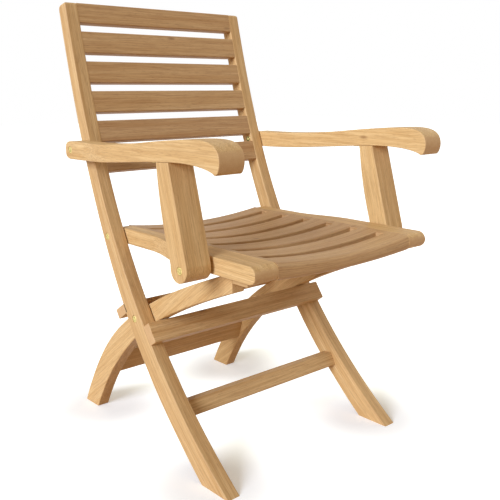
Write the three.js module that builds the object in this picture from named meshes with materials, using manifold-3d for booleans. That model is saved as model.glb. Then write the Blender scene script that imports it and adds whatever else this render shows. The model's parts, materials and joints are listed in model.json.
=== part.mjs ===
// Folding teak armchair with a slatted back, a dished slatted seat and bowed arms.
// Millimetres. X to the right as seen from the front, Y to the back, Z up.
// While the pieces are shaped, y = 0 is the line of the front toes and z = 0 is the floor.
import * as THREE from "three";
import { mergeVertices, toCreasedNormals } from "three/addons/utils/BufferGeometryUtils.js";
import ManifoldModule from "manifold-3d";

const wasm = await ManifoldModule();
wasm.setup();
const { Manifold, Mesh: SolidMesh } = wasm;

// Sizes

// Clearances and small fits.
const fitGap = 0.3;          // round a tenon, a pin or a pressed-in fitting
const shoulderGap = 0.2;     // between a shoulder and the face it closes on
const restGap = 0.4;         // between pieces that rest on one another when the chair stands open
const overrun = 40;          // how far a cutting tool runs past the wood
const weld = 0.0005;         // points closer than this are one point
const easedEdge = 2.2;       // planed-off arris of the thick members
const easedSlat = 1.6;       // planed-off arris of the slats and bars
const easedShare = 0.25;     // the most that an arris takes of a thin end

// Back frame: two bowed stiles that run from the floor to the head of the back.
const frameWidth = 480;      // over the outer faces of the stiles
const stileThickness = 30;   // across the chair
const stileRise = 908.6;     // centreline from the floor to the head
const stileToe = 26.2;       // centreline at the floor, behind the toe
const stileRun = 507.2;      // how far the centreline leans back from floor to head
const stileLowPullShares = [0.55, 0.2431];   // Bezier handle, shares of run and rise
const stileHighPullShares = [0.8044, 0.5392];
const stileFootDepth = 49;
const stileKneeDepth = 47;
const stileShoulderDepth = 34;
const stileHeadDepth = 29.5;
const stileDepthShares = [0, 0.33, 0.66, 1]; // where the four depths above are reached
const stileHeadRound = 11;   // rounded rear corner at the head

// Slats of the back.
const backSlatCount = 6;     // all but the lowest are above the arms' bolts
const topRailHeight = 44;
const backSlatGap = 18;      // wide enough for the arm bolt's nut
const backSlatThickness = 20;
const backSlatInset = 0.6;   // behind the front edge of the stiles
const backTenonLength = 18;
const backTenonThickness = 10;
const backTenonHeightShare = 0.67;

// Bars of the back frame. The two crossbars lie against the rear legs, which they stop.
const frontBarHeight = 44;   // along the stile
const frontBarDepth = 22;    // from its seat in the stile's front edge
const rearBarHeight = 18.5;
const rearBarDepth = 40;
const barSeat = 1.5;         // flat seat for a crossbar, cut into the bowed edge of the stile
const barTenonDepth = 12;    // stub tenon into the edge of the stile
const barTenonWidth = 14;
const barTenonHeight = 11;
const stretcherLevel = 111;
const stretcherBehind = 4;   // behind the stile's centreline
const stretcherHeight = 32;
const stretcherThickness = 20;
const stretcherTilt = 31 * THREE.MathUtils.DEG2RAD;
const stretcherTenonLength = 16;
const stretcherTenonThickness = 10;
const stretcherTenonHeight = 20;

// Rear legs: bowed, inside the stiles, crossing them at a pivot bolt.
const sideGap = 2;           // between a stile and the member that swings beside it
const legThickness = 28;     // across the chair, the same stock as the thin end of the seat rail
const legFootBack = 526;     // centreline at the floor, behind the toe line
const legHeadDrop = 12;      // from the rail's underside to the centreline above the toe line
const legLowPullShares = [0.813, 0.4995];    // Bezier handle, shares of foot distance and head rise
const legHighPullShares = [0.575, 0.714];
const legFootDepth = 49;
const legHeelDepth = 51.4;
const legKneeDepth = 39.5;
const legHeadDepth = 35.5;
const legDepthShares = [0, 0.33, 0.66, 1];
const legHeadBack = 9.2;     // upright end cut under the seat, behind the toe line
const legBarLevel = 119;     // height on the leg's centreline
const legBarAhead = 6.5;     // in front of that centreline
const legBarHeight = 42;
const legBarThickness = 20;
const legBarTilt = 34.8 * THREE.MathUtils.DEG2RAD;
const legBarTenonLength = 14;
const legBarTenonThickness = 10;
const legBarTenonHeight = 26;

// Seat frame: two rails that flare outward in front of the stiles.
const seatHeight = 443;      // top of the rails
const railDepth = 32;
const railFrontWidth = 54;
const railNose = -80;        // front of the rail's rounded nose
const flareStart = 262;      // where the rail's outer face leaves its thin rear part
const flareEnd = 128;        // where it reaches its full width
const seatPivotBehind = 5.1; // pivot bolt behind the stile's centreline
const railTail = 16;         // from the pivot bolt to the rail's rear end
const seatSlatCount = 7;
const firstSlot = -15.8;     // middle of the first slot
const slotPitch = 69.7;
const slotWidth = 19;
const slotCorner = 2;        // rounding at the square ends of a slot
const slotMargin = 14;       // from the end of a slot to the rail
const seatRear = 386;        // rear edge of the last slat
const seatDish = 13;         // how far the slats sag in the middle
const seatSlatThickness = 20;
const noseSlatThickness = 31.5; // the first slat, at its ends, closes flush with the rails' noses
const noseSlatDish = 7;      // how far its underside sags in the middle
const seatNoseRound = 6;     // rounded upper front edge of the first slat
const seatNoseUnderRound = 5;
const seatTenonLength = 11;
const seatTenonThickness = 9;
const seatTenonShoulder = 9; // from the slat's long edge to its tenon
const stopLength = 40;       // block under the rail that the leg's head closes on
const stopHeight = 16;

// Arms: bowed, wider in front than beside the stile, with a turned-down nose.
const armWidth = 54;
const armRearWidth = 39;
const armLength = 526;
const armAboveSeat = 178.5;  // from the seat's pivot bolt up to the arm's
const armPivotAhead = 2;     // bolt in front of the stile's centreline
const armTail = 17.5;        // from the bolt to the arm's rear end
const armBelowPivot = 18.7;  // from the bolt down to the lowest line of the arm
const armSpan = 64.6;        // from there to the crown in front
const armFlareStart = 42.5;  // in front of the bolt, where the outer face leaves the narrow rear part
const armFlareEnd = 172.5;   // where it reaches its full width
const armTopShares = [
  [0, 0.38], [0.005, 0.49], [0.021, 0.557], [0.062, 0.569], [0.14, 0.57], [0.23, 0.58],
  [0.34, 0.616], [0.45, 0.68], [0.56, 0.766], [0.67, 0.865], [0.775, 0.943], [0.853, 0.983],
  [0.908, 0.99], [0.946, 0.955], [0.972, 0.88], [0.99, 0.76], [0.9985, 0.6], [1, 0.46],
  [0.997, 0.33], [0.991, 0.22], [0.984, 0.165],
];
const armUnderShares = [
  [0, 0.18], [0.005, 0.07], [0.021, 0.008], [0.062, 0], [0.14, 0.01], [0.23, 0.037],
  [0.34, 0.09], [0.45, 0.16], [0.56, 0.235], [0.67, 0.304], [0.755, 0.346], [0.82, 0.354],
  [0.862, 0.342], [0.893, 0.322], [0.916, 0.298], [0.936, 0.27], [0.95, 0.244], [0.96, 0.221],
  [0.967, 0.2], [0.972, 0.18], [0.976, 0.163],
];

// Arm posts, between the arm and the outside of the seat rail.
const postWidth = 54;        // across the chair
const postHeadDepth = 35.5;
const postFootRound = 23.6;  // radius of the rounded foot
const postFootBehind = 2.7;  // middle of the rounded foot, behind its bolt
const postFootAbove = 1.1;
const postShoulderShare = 0.25; // where the straight edges begin, as a share of the foot's radius
const postBow = 5;           // how far the rear edge swells

// The arm, the post, the seat rail and the stile make a parallelogram: the arm's bolt lies as far
// from the seat pivot as the hinge under the arm lies from the post bolt, and in the same direction.
const postPivotBack = 45.5;
const postPivotDrop = 2.3;   // below the middle of the rail

// Fittings.
const headRadius = 7.1;
const headThickness = 3.2;
const headSink = 0.5;        // how far the head lies below the wood
const rimRound = 0.9;
const shankRadius = 4;
const socketWidth = 6;       // across the flats of the hexagon socket
const socketDepth = 2.2;
const sleeveRadius = 5.8;
const capLength = 17;        // sleeve of the cap nut
const insertRadius = 6.2;
const insertLength = 13;
const washerRadius = 11;
const washerPlay = 0.3;
const spacerRadius = 10;
const leafLength = 36;       // hinge leaf, across the chair
const leafWidth = 19;
const leafThickness = 1.6;
const knuckleRadius = 3.4;
const hingePinRadius = 1.5;
const knuckleGap = 0.35;
const hingeInset = 0.3;      // between the barrel and the rear face of the post
const pinHeadLift = 0.6;

// How finely curves are cut, and how often a search halves its range.
const roundCuts = 24;
const memberCuts = 34;
const dishCuts = 6;           // from the middle of the seat to one side
const arcCuts = 5;
const cornerCuts = 2;
const endRings = 2;           // rings past the end of a member, which is sawn off afterwards
const halvings = 40;
const nearSamples = 240;
const endCutShare = 0.12;    // share of a quarter turn left off where a rounded end comes to its edge
const armSearchShares = [0.2, 0.7];
const creaseAngle = 30 * THREE.MathUtils.DEG2RAD;

const teakColour = 0xb08355;
const teakRoughness = 0.62;
const brassColour = 0xa8945a;
const brassRoughness = 0.38;

// Places that follow from the sizes

const stileOuter = frameWidth / 2;
const stileInner = stileOuter - stileThickness;
const legOuter = stileInner - sideGap;
const legInner = legOuter - legThickness;
const railInner = legInner;
const railRearOuter = legOuter;
const railOuter = railInner + railFrontWidth;
const armInner = stileOuter + sideGap;
const armOuter = armInner + armWidth;
const armRearOuter = armInner + armRearWidth;
const postInner = armInner;
const postOuter = postInner + postWidth;
const railMiddle = seatHeight - railDepth / 2;
const railUnder = seatHeight - railDepth;
const legHeadRise = railUnder - legHeadDrop;
const slotReach = railInner - slotMargin;

// Curves

const stileLine = new THREE.CubicBezierCurve(
  new THREE.Vector2(stileToe, 0),
  new THREE.Vector2(stileToe + stileRun * stileLowPullShares[0], stileRise * stileLowPullShares[1]),
  new THREE.Vector2(stileToe + stileRun * stileHighPullShares[0], stileRise * stileHighPullShares[1]),
  new THREE.Vector2(stileToe + stileRun, stileRise),
);

const legLine = new THREE.CubicBezierCurve(
  new THREE.Vector2(legFootBack, 0),
  new THREE.Vector2(legFootBack * legLowPullShares[0], legHeadRise * legLowPullShares[1]),
  new THREE.Vector2(legFootBack * legHighPullShares[0], legHeadRise * legHighPullShares[1]),
  new THREE.Vector2(0, legHeadRise),
);

// A value read off a broken line of equally meant stations.
function between(stations, values, t) {
  const last = stations.length - 1;
  if (t <= stations[0]) return values[0];
  if (t >= stations[last]) return values[last];
  let i = 0;
  while (t > stations[i + 1]) i += 1;
  const part = (t - stations[i]) / (stations[i + 1] - stations[i]);
  const eased = part * part * (3 - 2 * part);
  return values[i] + (values[i + 1] - values[i]) * (part + eased) / 2;
}

// Point of a curve beyond its ends too, along the end tangent.
function pointOn(line, t) {
  const inside = Math.min(Math.max(t, 0), 1);
  const point = line.getPoint(inside);
  if (t === inside) return point;
  return point.addScaledVector(line.getTangent(inside), (t - inside) * line.getLength());
}

// Front (or lower) edge is on the left hand of someone who walks up the curve.
function edgeOf(line, t, offset) {
  const tangent = line.getTangent(Math.min(Math.max(t, 0), 1));
  return pointOn(line, t).add(new THREE.Vector2(-tangent.y, tangent.x).multiplyScalar(offset));
}

function stileDepthAt(t) {
  const depths = [stileFootDepth, stileKneeDepth, stileShoulderDepth, stileHeadDepth];
  return between(stileDepthShares, depths, t);
}

function legDepthAt(t) {
  return between(legDepthShares, [legFootDepth, legHeelDepth, legKneeDepth, legHeadDepth], t);
}

// Parameter of a rising centreline at a height, found by halving.
function atLevel(line, level) {
  let low = 0;
  let high = 1;
  for (let i = 0; i < halvings; i += 1) {
    const middle = (low + high) / 2;
    if (line.getPoint(middle).y < level) low = middle;
    else high = middle;
  }
  return (low + high) / 2;
}

// Share of the stile's length below a point of its centreline.
function lengthShareAt(t) {
  const lengths = stileLine.getLengths();
  const place = t * (lengths.length - 1);
  const i = Math.min(Math.floor(place), lengths.length - 2);
  return (lengths[i] + (lengths[i + 1] - lengths[i]) * (place - i)) / lengths[lengths.length - 1];
}

// Parameter of the stile's centreline at a distance from its head.
function stileFromHead(distance) {
  return stileLine.getUtoTmapping(1 - distance / stileLine.getLength());
}

function leanAt(t) {
  const tangent = stileLine.getTangent(t);
  return Math.atan2(tangent.x, tangent.y);
}

// The legs' pivot bolt is where the two centrelines cross, found by halving on the stile's side.
function crossing() {
  let low = 0;
  let high = 1;
  for (let i = 0; i < halvings; i += 1) {
    const middle = (low + high) / 2;
    const point = stileLine.getPoint(middle);
    const beside = legLine.getPoint(atLevel(legLine, point.y));
    if (point.x < beside.x) low = middle;
    else high = middle;
  }
  return stileLine.getPoint((low + high) / 2);
}

const legPivot = crossing();
const seatPivot = stileLine.getPoint(atLevel(stileLine, railMiddle));
seatPivot.x += seatPivotBehind;
const armPivot = stileLine.getPoint(atLevel(stileLine, railMiddle + armAboveSeat));
armPivot.x -= armPivotAhead;
const postPivot = new THREE.Vector2(postPivotBack, railMiddle - postPivotDrop);
const hingePivot = new THREE.Vector2().subVectors(armPivot, seatPivot).add(postPivot);
const armRearEnd = armPivot.x + armTail;
const armUnderside = armPivot.y - armBelowPivot;

// How much a round end takes off a half depth at a distance from the end.
function roundInset(radius, distance) {
  if (distance >= radius) return 0;
  const rest = radius - Math.max(distance, 0);
  return radius - Math.sqrt(Math.max(radius * radius - rest * rest, 0));
}

// A value that swells softly from one place to another.
function softStep(start, end, at) {
  const part = Math.min(Math.max((at - start) / (end - start), 0), 1);
  return part * part * (3 - 2 * part);
}

function railOuterAt(back) {
  return railRearOuter + (railOuter - railRearOuter) * softStep(flareStart, flareEnd, back);
}

function armOuterAt(back) {
  const ahead = armPivot.x - back;
  return armRearOuter + (armOuter - armRearOuter) * softStep(armFlareStart, armFlareEnd, ahead);
}

function armEdge(shares) {
  const points = shares.map(([along, rise]) => new THREE.Vector3(
    0, armRearEnd - armLength * along, armUnderside + armSpan * rise));
  return new THREE.CatmullRomCurve3(points, false, "centripetal");
}

const armTop = armEdge(armTopShares);
const armUnder = armEdge(armUnderShares);

// Height of the arm's underside at a distance behind the toe line.
function armUnderAt(back) {
  let [low, high] = armSearchShares;
  for (let i = 0; i < halvings; i += 1) {
    const middle = (low + high) / 2;
    if (armUnder.getPoint(middle).y > back) low = middle;
    else high = middle;
  }
  return armUnder.getPoint((low + high) / 2).z;
}

// Solids

function solidOf(geometry) {
  const bare = new THREE.BufferGeometry();
  bare.setAttribute("position", geometry.getAttribute("position").clone());
  if (geometry.index) bare.setIndex(geometry.index.clone());
  const joined = mergeVertices(bare, weld);
  return new Manifold(new SolidMesh({
    numProp: 3,
    vertProperties: new Float32Array(joined.getAttribute("position").array),
    triVerts: new Uint32Array(joined.index.array),
  }));
}

// Closes a run of equal rings into one solid with its faces out.
function skin(rings) {
  const count = rings[0].length;
  const positions = [];
  for (const ring of rings) for (const point of ring) positions.push(point.x, point.y, point.z);
  const faces = [];
  for (let i = 0; i + 1 < rings.length; i += 1) {
    for (let j = 0; j < count; j += 1) {
      const next = (j + 1) % count;
      const a = i * count + j;
      const b = i * count + next;
      const c = (i + 1) * count + next;
      const d = (i + 1) * count + j;
      faces.push([a, b, c], [a, c, d]);
    }
  }
  const last = (rings.length - 1) * count;
  for (let j = 1; j + 1 < count; j += 1) {
    faces.push([0, j + 1, j], [last, last + j, last + j + 1]);
  }
  let volume = 0;
  const corner = (index) => new THREE.Vector3().fromArray(positions, index * 3);
  for (const [a, b, c] of faces) volume += corner(a).dot(corner(b).cross(corner(c)));
  const wound = volume > 0 ? faces : faces.map(([a, b, c]) => [a, c, b]);
  const geometry = new THREE.BufferGeometry();
  geometry.setAttribute("position", new THREE.Float32BufferAttribute(positions, 3));
  geometry.setIndex(wound.flat());
  return solidOf(geometry);
}

// Ring of a member that is sawn to two edges in side view, with planed-off arrises.
function sawnRing(low, high, inner, outerAt, ease) {
  const across = new THREE.Vector2().subVectors(high, low);
  const size = across.length();
  across.divideScalar(size);
  const cut = Math.min(ease, size * easedShare);
  const outerLow = outerAt(low.x);
  const outerHigh = outerAt(high.x);
  const at = (x, edge, step) => new THREE.Vector3(x, edge.x + across.x * step, edge.y + across.y * step);
  return [
    at(inner + ease, low, 0), at(outerLow - ease, low, 0),
    at(outerLow, low, cut), at(outerHigh, high, -cut),
    at(outerHigh - ease, high, 0), at(inner + ease, high, 0),
    at(inner, high, -cut), at(inner, low, cut),
  ];
}

function boxAt(x0, x1, middle, lean, depth, height) {
  const geometry = new THREE.BoxGeometry(x1 - x0, depth, height);
  geometry.rotateX(-lean);
  geometry.translate((x0 + x1) / 2, middle.x, middle.y);
  return solidOf(geometry);
}

// Board that runs across the chair with its long arrises planed off.
function easedBoard(x0, x1, middle, lean, depth, height) {
  const ease = easedSlat;
  const ring = (x) => {
    const points = [
      [-depth / 2 + ease, -height / 2], [depth / 2 - ease, -height / 2],
      [depth / 2, -height / 2 + ease], [depth / 2, height / 2 - ease],
      [depth / 2 - ease, height / 2], [-depth / 2 + ease, height / 2],
      [-depth / 2, height / 2 - ease], [-depth / 2, -height / 2 + ease],
    ];
    const sine = Math.sin(lean);
    const cosine = Math.cos(lean);
    return points.map(([y, z]) => new THREE.Vector3(
      x, middle.x + y * cosine + z * sine, middle.y - y * sine + z * cosine));
  };
  return skin([ring(x0), ring(x1)]);
}

function rodAt(x0, x1, middle, radius) {
  const geometry = new THREE.CylinderGeometry(radius, radius, x1 - x0, roundCuts);
  geometry.rotateZ(-Math.PI / 2);
  geometry.translate((x0 + x1) / 2, middle.x, middle.y);
  return solidOf(geometry);
}

// Turned piece: radii along X from a start, with its axis across the chair.
function turned(profile, x, middle, heading) {
  const points = profile.map(([along, radius]) => new THREE.Vector2(radius, along));
  const geometry = new THREE.LatheGeometry(points, roundCuts);
  geometry.rotateZ(heading > 0 ? -Math.PI / 2 : Math.PI / 2);
  geometry.translate(x, middle.x, middle.y);
  return solidOf(geometry);
}

// Takes away what would stand below the floor.
function floorTool(back, length) {
  return boxAt(0, frameWidth, new THREE.Vector2(back, -overrun), 0, length, overrun * 2);
}

// Back frame

function boltSeat(x, middle, heading) {
  const depth = headThickness + headSink;
  const end = x - heading * depth;
  const start = x + heading * overrun;
  return rodAt(Math.min(end, start), Math.max(end, start), middle, headRadius + fitGap);
}

// Slats from the head down. The arms' bolts sit in the middle of the lowest gap.
function backSlatPlaces() {
  const toBolt = stileLine.getLength() * (1 - lengthShareAt(atLevel(stileLine, armPivot.y)));
  const pitch = (toBolt - topRailHeight - backSlatGap / 2) / (backSlatCount - 2);
  const places = [];
  let edge = 0;
  for (let i = 0; i < backSlatCount; i += 1) {
    const height = i === 0 ? topRailHeight : pitch - backSlatGap;
    const t = stileFromHead(edge + height / 2);
    const middle = edgeOf(stileLine, t, stileDepthAt(t) / 2 - backSlatInset - backSlatThickness / 2);
    places.push({ middle, lean: leanAt(t), height });
    edge += height + backSlatGap;
  }
  return places;
}

// Crossbar on the front (side 1) or rear (side -1) edge of the stiles.
function barPlace(t, side, depth, height) {
  const seat = stileDepthAt(t) / 2 - barSeat;
  const middle = edgeOf(stileLine, t, side * (seat + depth / 2));
  return { t, side, depth, height, seat, lean: leanAt(t), middle };
}

// How far a crossbar's corners lie clear of the rear leg.
function barToLeg({ middle, lean, depth, height }) {
  const back = new THREE.Vector2(Math.cos(lean), -Math.sin(lean)).multiplyScalar(depth / 2);
  const up = new THREE.Vector2(Math.sin(lean), Math.cos(lean)).multiplyScalar(height / 2);
  let least = Infinity;
  const corners = [[1, 1], [1, -1], [-1, 1], [-1, -1]];
  for (const [toBack, toTop] of corners) {
    const corner = middle.clone().addScaledVector(back, toBack).addScaledVector(up, toTop);
    for (let i = 0; i <= nearSamples; i += 1) {
      const t = i / nearSamples;
      least = Math.min(least, legLine.getPoint(t).distanceTo(corner) - legDepthAt(t) / 2);
    }
  }
  return least;
}

// Slides a crossbar along the stile, away from the crossing, until it only just clears the leg.
function barAgainstLeg(side, depth, height) {
  let near = atLevel(stileLine, legPivot.y);
  let far = side > 0 ? 0 : 1;
  for (let i = 0; i < halvings; i += 1) {
    const middle = (near + far) / 2;
    if (barToLeg(barPlace(middle, side, depth, height)) < restGap) near = middle;
    else far = middle;
  }
  return barPlace(far, side, depth, height);
}

const frontBar = barAgainstLeg(1, frontBarDepth, frontBarHeight);
const rearBar = barAgainstLeg(-1, rearBarDepth, rearBarHeight);

function shapeStile() {
  const span = stileLine.getLength();
  const rings = [];
  for (let i = -endRings; i <= memberCuts; i += 1) {
    const t = i / memberCuts;
    if (1 - t > stileHeadRound / span) rings.push(stileRing(t, 0));
  }
  for (let i = 0; i <= arcCuts; i += 1) {
    const distance = stileHeadRound * (1 - Math.sin(i / arcCuts * Math.PI / 2));
    rings.push(stileRing(1 - distance / span, roundInset(stileHeadRound, distance)));
  }
  let stile = skin(rings);
  stile = stile.subtract(floorTool(stileToe, stileRun));
  for (const place of backSlatPlaces()) stile = stile.subtract(backMortise(place));
  stile = stile.subtract(stretcherTenon(fitGap));
  for (const bar of [frontBar, rearBar]) {
    stile = stile.subtract(barBoard(bar, shoulderGap)).subtract(stubTenon(bar, fitGap));
  }
  for (const pivot of [armPivot, seatPivot, legPivot]) {
    stile = stile.subtract(rodAt(stileInner - overrun, stileOuter + overrun, pivot, shankRadius + fitGap));
  }
  for (const pivot of [seatPivot, legPivot]) stile = stile.subtract(boltSeat(stileOuter, pivot, 1));
  stile = stile.subtract(boltSeat(stileInner, armPivot, -1));
  return stile.subtract(sleeveBore(stileInner, armPivot));
}

function stileRing(t, inset) {
  const half = stileDepthAt(t) / 2;
  const front = edgeOf(stileLine, t, half);
  const rear = edgeOf(stileLine, t, inset - half);
  return sawnRing(front, rear, stileInner, () => stileOuter, easedEdge);
}

function backMortise(place) {
  const start = stileInner - overrun;
  return boxAt(start, stileInner + backTenonLength + fitGap, place.middle, place.lean,
    backTenonThickness + fitGap * 2, place.height * backTenonHeightShare + fitGap * 2);
}

function shapeBackSlat(place) {
  const reach = stileInner - shoulderGap;
  const board = easedBoard(-reach, reach, place.middle, place.lean, backSlatThickness, place.height);
  const end = stileInner + backTenonLength;
  const tenonHeight = place.height * backTenonHeightShare;
  return board.add(boxAt(-end, end, place.middle, place.lean, backTenonThickness, tenonHeight));
}

// Short tenon on the face of a crossbar, let into the edge of the stile.
function stubTenon(bar, play) {
  const length = barTenonDepth + bar.depth / 2;
  const middle = edgeOf(stileLine, bar.t, bar.side * (bar.seat - barTenonDepth + length / 2));
  const half = barTenonWidth / 2 + play;
  const across = (stileInner + stileOuter) / 2;
  const height = barTenonHeight + play * 2;
  return boxAt(across - half, across + half, middle, bar.lean, length + play * 2, height);
}

function barBoard(bar, play) {
  const reach = stileOuter + play;
  return easedBoard(-reach, reach, bar.middle, bar.lean, bar.depth + play * 2, bar.height + play * 2);
}

function shapeBar(bar) {
  const stub = stubTenon(bar, 0);
  return barBoard(bar, 0).add(stub).add(mirrored(stub));
}

function stretcherMiddle() {
  return edgeOf(stileLine, atLevel(stileLine, stretcherLevel), -stretcherBehind);
}

function stretcherTenon(play) {
  const end = stileInner + stretcherTenonLength + play;
  return boxAt(-end, end, stretcherMiddle(), stretcherTilt,
    stretcherTenonThickness + play * 2, stretcherTenonHeight + play * 2);
}

function shapeStretcher() {
  const reach = stileInner - shoulderGap;
  const board = easedBoard(-reach, reach, stretcherMiddle(), stretcherTilt,
    stretcherThickness, stretcherHeight);
  return board.add(stretcherTenon(0));
}

// Rear legs

function legRing(t) {
  const half = legDepthAt(t) / 2;
  const low = edgeOf(legLine, t, half);
  const high = edgeOf(legLine, t, -half);
  return sawnRing(low, high, legInner, () => legOuter, easedEdge);
}

function legBarMiddle() {
  return edgeOf(legLine, atLevel(legLine, legBarLevel), legBarAhead);
}

function legBarTenon(play) {
  const end = legInner + legBarTenonLength + play;
  return boxAt(-end, end, legBarMiddle(), -legBarTilt,
    legBarTenonThickness + play * 2, legBarTenonHeight + play * 2);
}

function shapeLeg() {
  const rings = [];
  for (let i = -endRings; i < memberCuts + endRings; i += 1) rings.push(legRing(i / memberCuts));
  let leg = skin(rings);
  leg = leg.subtract(floorTool(legFootBack, legFootBack));
  const head = new THREE.Vector2(legHeadBack - overrun, legHeadRise);
  leg = leg.subtract(boxAt(0, frameWidth, head, 0, overrun * 2, legHeadRise));
  const under = new THREE.Vector2(0, railUnder - restGap + overrun);
  leg = leg.subtract(boxAt(0, frameWidth, under, 0, legFootBack, overrun * 2));
  leg = leg.subtract(insertBore(legOuter, legOuter, legPivot));
  return leg.subtract(legBarTenon(fitGap));
}

function shapeLegBar() {
  const reach = legInner - shoulderGap;
  const board = easedBoard(-reach, reach, legBarMiddle(), -legBarTilt, legBarThickness, legBarHeight);
  return board.add(legBarTenon(0));
}

// Seat

// Rail: half-round at both ends, straight inside face, outer face flared in front of the stiles.
function shapeRail() {
  const radius = railDepth / 2;
  const rearMiddle = seatPivot.x + railTail - radius;
  const noseMiddle = railNose + radius;
  const rounding = [];
  for (let i = 0; i <= arcCuts; i += 1) {
    const angle = (endCutShare + (1 - endCutShare) * i / arcCuts) * Math.PI / 2;
    rounding.push([radius * Math.cos(angle), radius * Math.sin(angle)]);
  }
  const stations = rounding.map(([out, half]) => [rearMiddle + out, half]);
  const flareCuts = arcCuts * 2;
  for (let i = 0; i <= flareCuts; i += 1) {
    stations.push([flareStart + (flareEnd - flareStart) * i / flareCuts, radius]);
  }
  stations.push(...rounding.reverse().map(([out, half]) => [noseMiddle - out, half]));
  const rings = stations.map(([back, half]) => sawnRing(
    new THREE.Vector2(back, railMiddle - half), new THREE.Vector2(back, railMiddle + half),
    railInner, railOuterAt, easedEdge));
  let rail = skin(rings);
  for (let k = 0; k < seatSlatCount; k += 1) rail = rail.subtract(seatMortise(k));
  rail = rail.subtract(insertBore(railRearOuter, railOuter, seatPivot));
  return rail.subtract(insertBore(railOuter, railOuter, postPivot));
}

// Front and rear edge of slat k where the slats meet at their ends.
function slatEdges(k) {
  const front = k === 0 ? railNose : firstSlot + slotPitch * (k - 1) + fitGap / 2;
  const rear = k === seatSlatCount - 1 ? seatRear : firstSlot + slotPitch * k - fitGap / 2;
  return [front, rear];
}

// How far a dished face hangs at a place across the chair.
function sagAt(x, dish) {
  const share = x / railInner;
  return dish * (1 - share * share);
}

// Places along a slat, from its middle to the rail, and how far a slot cuts into its edge there.
function slatStations() {
  const cut = slotWidth / 2;
  const straightEnd = slotReach - slotCorner;
  const half = [];
  for (let i = 0; i < dishCuts; i += 1) half.push({ x: straightEnd * i / dishCuts, cut });
  for (let i = 0; i <= cornerCuts; i += 1) {
    const distance = slotCorner * (1 - Math.sin(i / cornerCuts * Math.PI / 2));
    half.push({ x: slotReach - distance, cut: cut - roundInset(slotCorner, distance) });
  }
  half.push({ x: slotReach, cut: 0 }, { x: railInner - shoulderGap, cut: 0 });
  return half.slice(1).reverse().map((station) => ({ x: -station.x, cut: station.cut })).concat(half);
}

function slatRing(x, front, rear, form) {
  const top = seatHeight - sagAt(x, seatDish);
  const low = seatHeight - form.thickness - sagAt(x, form.underDish);
  const points = [];
  const corner = (y, z, towardY, towardZ, radius, cuts, reversed) => {
    const steps = [];
    for (let i = 0; i <= cuts; i += 1) {
      const angle = i / cuts * Math.PI / 2;
      steps.push(new THREE.Vector3(
        x, y + towardY * radius * (1 - Math.cos(angle)), z + towardZ * radius * (1 - Math.sin(angle))));
    }
    points.push(...(reversed ? steps.reverse() : steps));
  };
  corner(front, low, 1, 1, form.under, form.cuts, false);
  corner(rear, low, -1, 1, easedSlat, 1, true);
  corner(rear, top, -1, -1, easedSlat, 1, false);
  corner(front, top, 1, -1, form.upper, form.cuts, true);
  return points;
}

function seatTenon(k, play) {
  const [front, rear] = slatEdges(k);
  const middle = new THREE.Vector2((front + rear) / 2, seatHeight - seatSlatThickness / 2);
  const width = rear - front - seatTenonShoulder * 2 + play * 2;
  const end = railInner + seatTenonLength + play;
  return boxAt(slotReach, end, middle, 0, width, seatTenonThickness + play * 2);
}

function seatMortise(k) {
  return seatTenon(k, fitGap);
}

function shapeSeatSlat(k) {
  const [front, rear] = slatEdges(k);
  const noseForm = {
    thickness: noseSlatThickness, underDish: noseSlatDish,
    under: seatNoseUnderRound, upper: seatNoseRound, cuts: arcCuts - 1,
  };
  const slatForm = {
    thickness: seatSlatThickness, underDish: seatDish, under: easedSlat, upper: easedSlat, cuts: 1,
  };
  const rings = slatStations().map(({ x, cut }) => {
    const frontCut = k === 0 ? 0 : cut;
    const rearCut = k === seatSlatCount - 1 ? 0 : cut;
    return slatRing(x, front + frontCut, rear - rearCut, k === 0 ? noseForm : slatForm);
  });
  const tenon = seatTenon(k, 0);
  return skin(rings).add(tenon).add(mirrored(tenon));
}

// Block under the rail, in front of the leg's head.
function shapeStop() {
  const rear = legHeadBack - restGap;
  const middle = new THREE.Vector2(rear - stopLength / 2, railUnder - shoulderGap - stopHeight / 2);
  return boxAt(legInner, legOuter, middle, 0, stopLength, stopHeight);
}

// Arms and posts

function shapeArm() {
  const rings = [];
  const cuts = (armTopShares.length - 1) * 2;
  for (let i = 0; i <= cuts; i += 1) {
    const low = armUnder.getPoint(i / cuts);
    const high = armTop.getPoint(i / cuts);
    const lowEdge = new THREE.Vector2(low.y, low.z);
    const highEdge = new THREE.Vector2(high.y, high.z);
    rings.push(sawnRing(lowEdge, highEdge, armInner, armOuterAt, easedEdge));
  }
  let arm = skin(rings);
  arm = arm.subtract(rodAt(armInner - overrun, armOuter + overrun, armPivot, shankRadius + fitGap));
  arm = arm.subtract(boltSeat(armRearOuter, armPivot, 1));
  return arm.subtract(hingeRecess(armLeafLean(), 1));
}

// Post: rounded foot round the bolt, straight front edge, swelling rear edge, head shut under the arm.
function postEdges() {
  const rear = hingePivot.x - knuckleRadius - hingeInset;
  const front = rear - postHeadDepth;
  const foot = new THREE.Vector2(postPivot.x + postFootBehind, postPivot.y + postFootAbove);
  const shoulder = foot.y + postFootRound * postShoulderShare;
  return {
    frontHead: new THREE.Vector2(front, armUnderAt(front) - shoulderGap),
    rearHead: new THREE.Vector2(rear, armUnderAt(rear) - shoulderGap),
    frontFoot: new THREE.Vector2(foot.x - postFootRound, shoulder),
    rearFoot: new THREE.Vector2(foot.x + postFootRound, shoulder),
    foot,
  };
}

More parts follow.
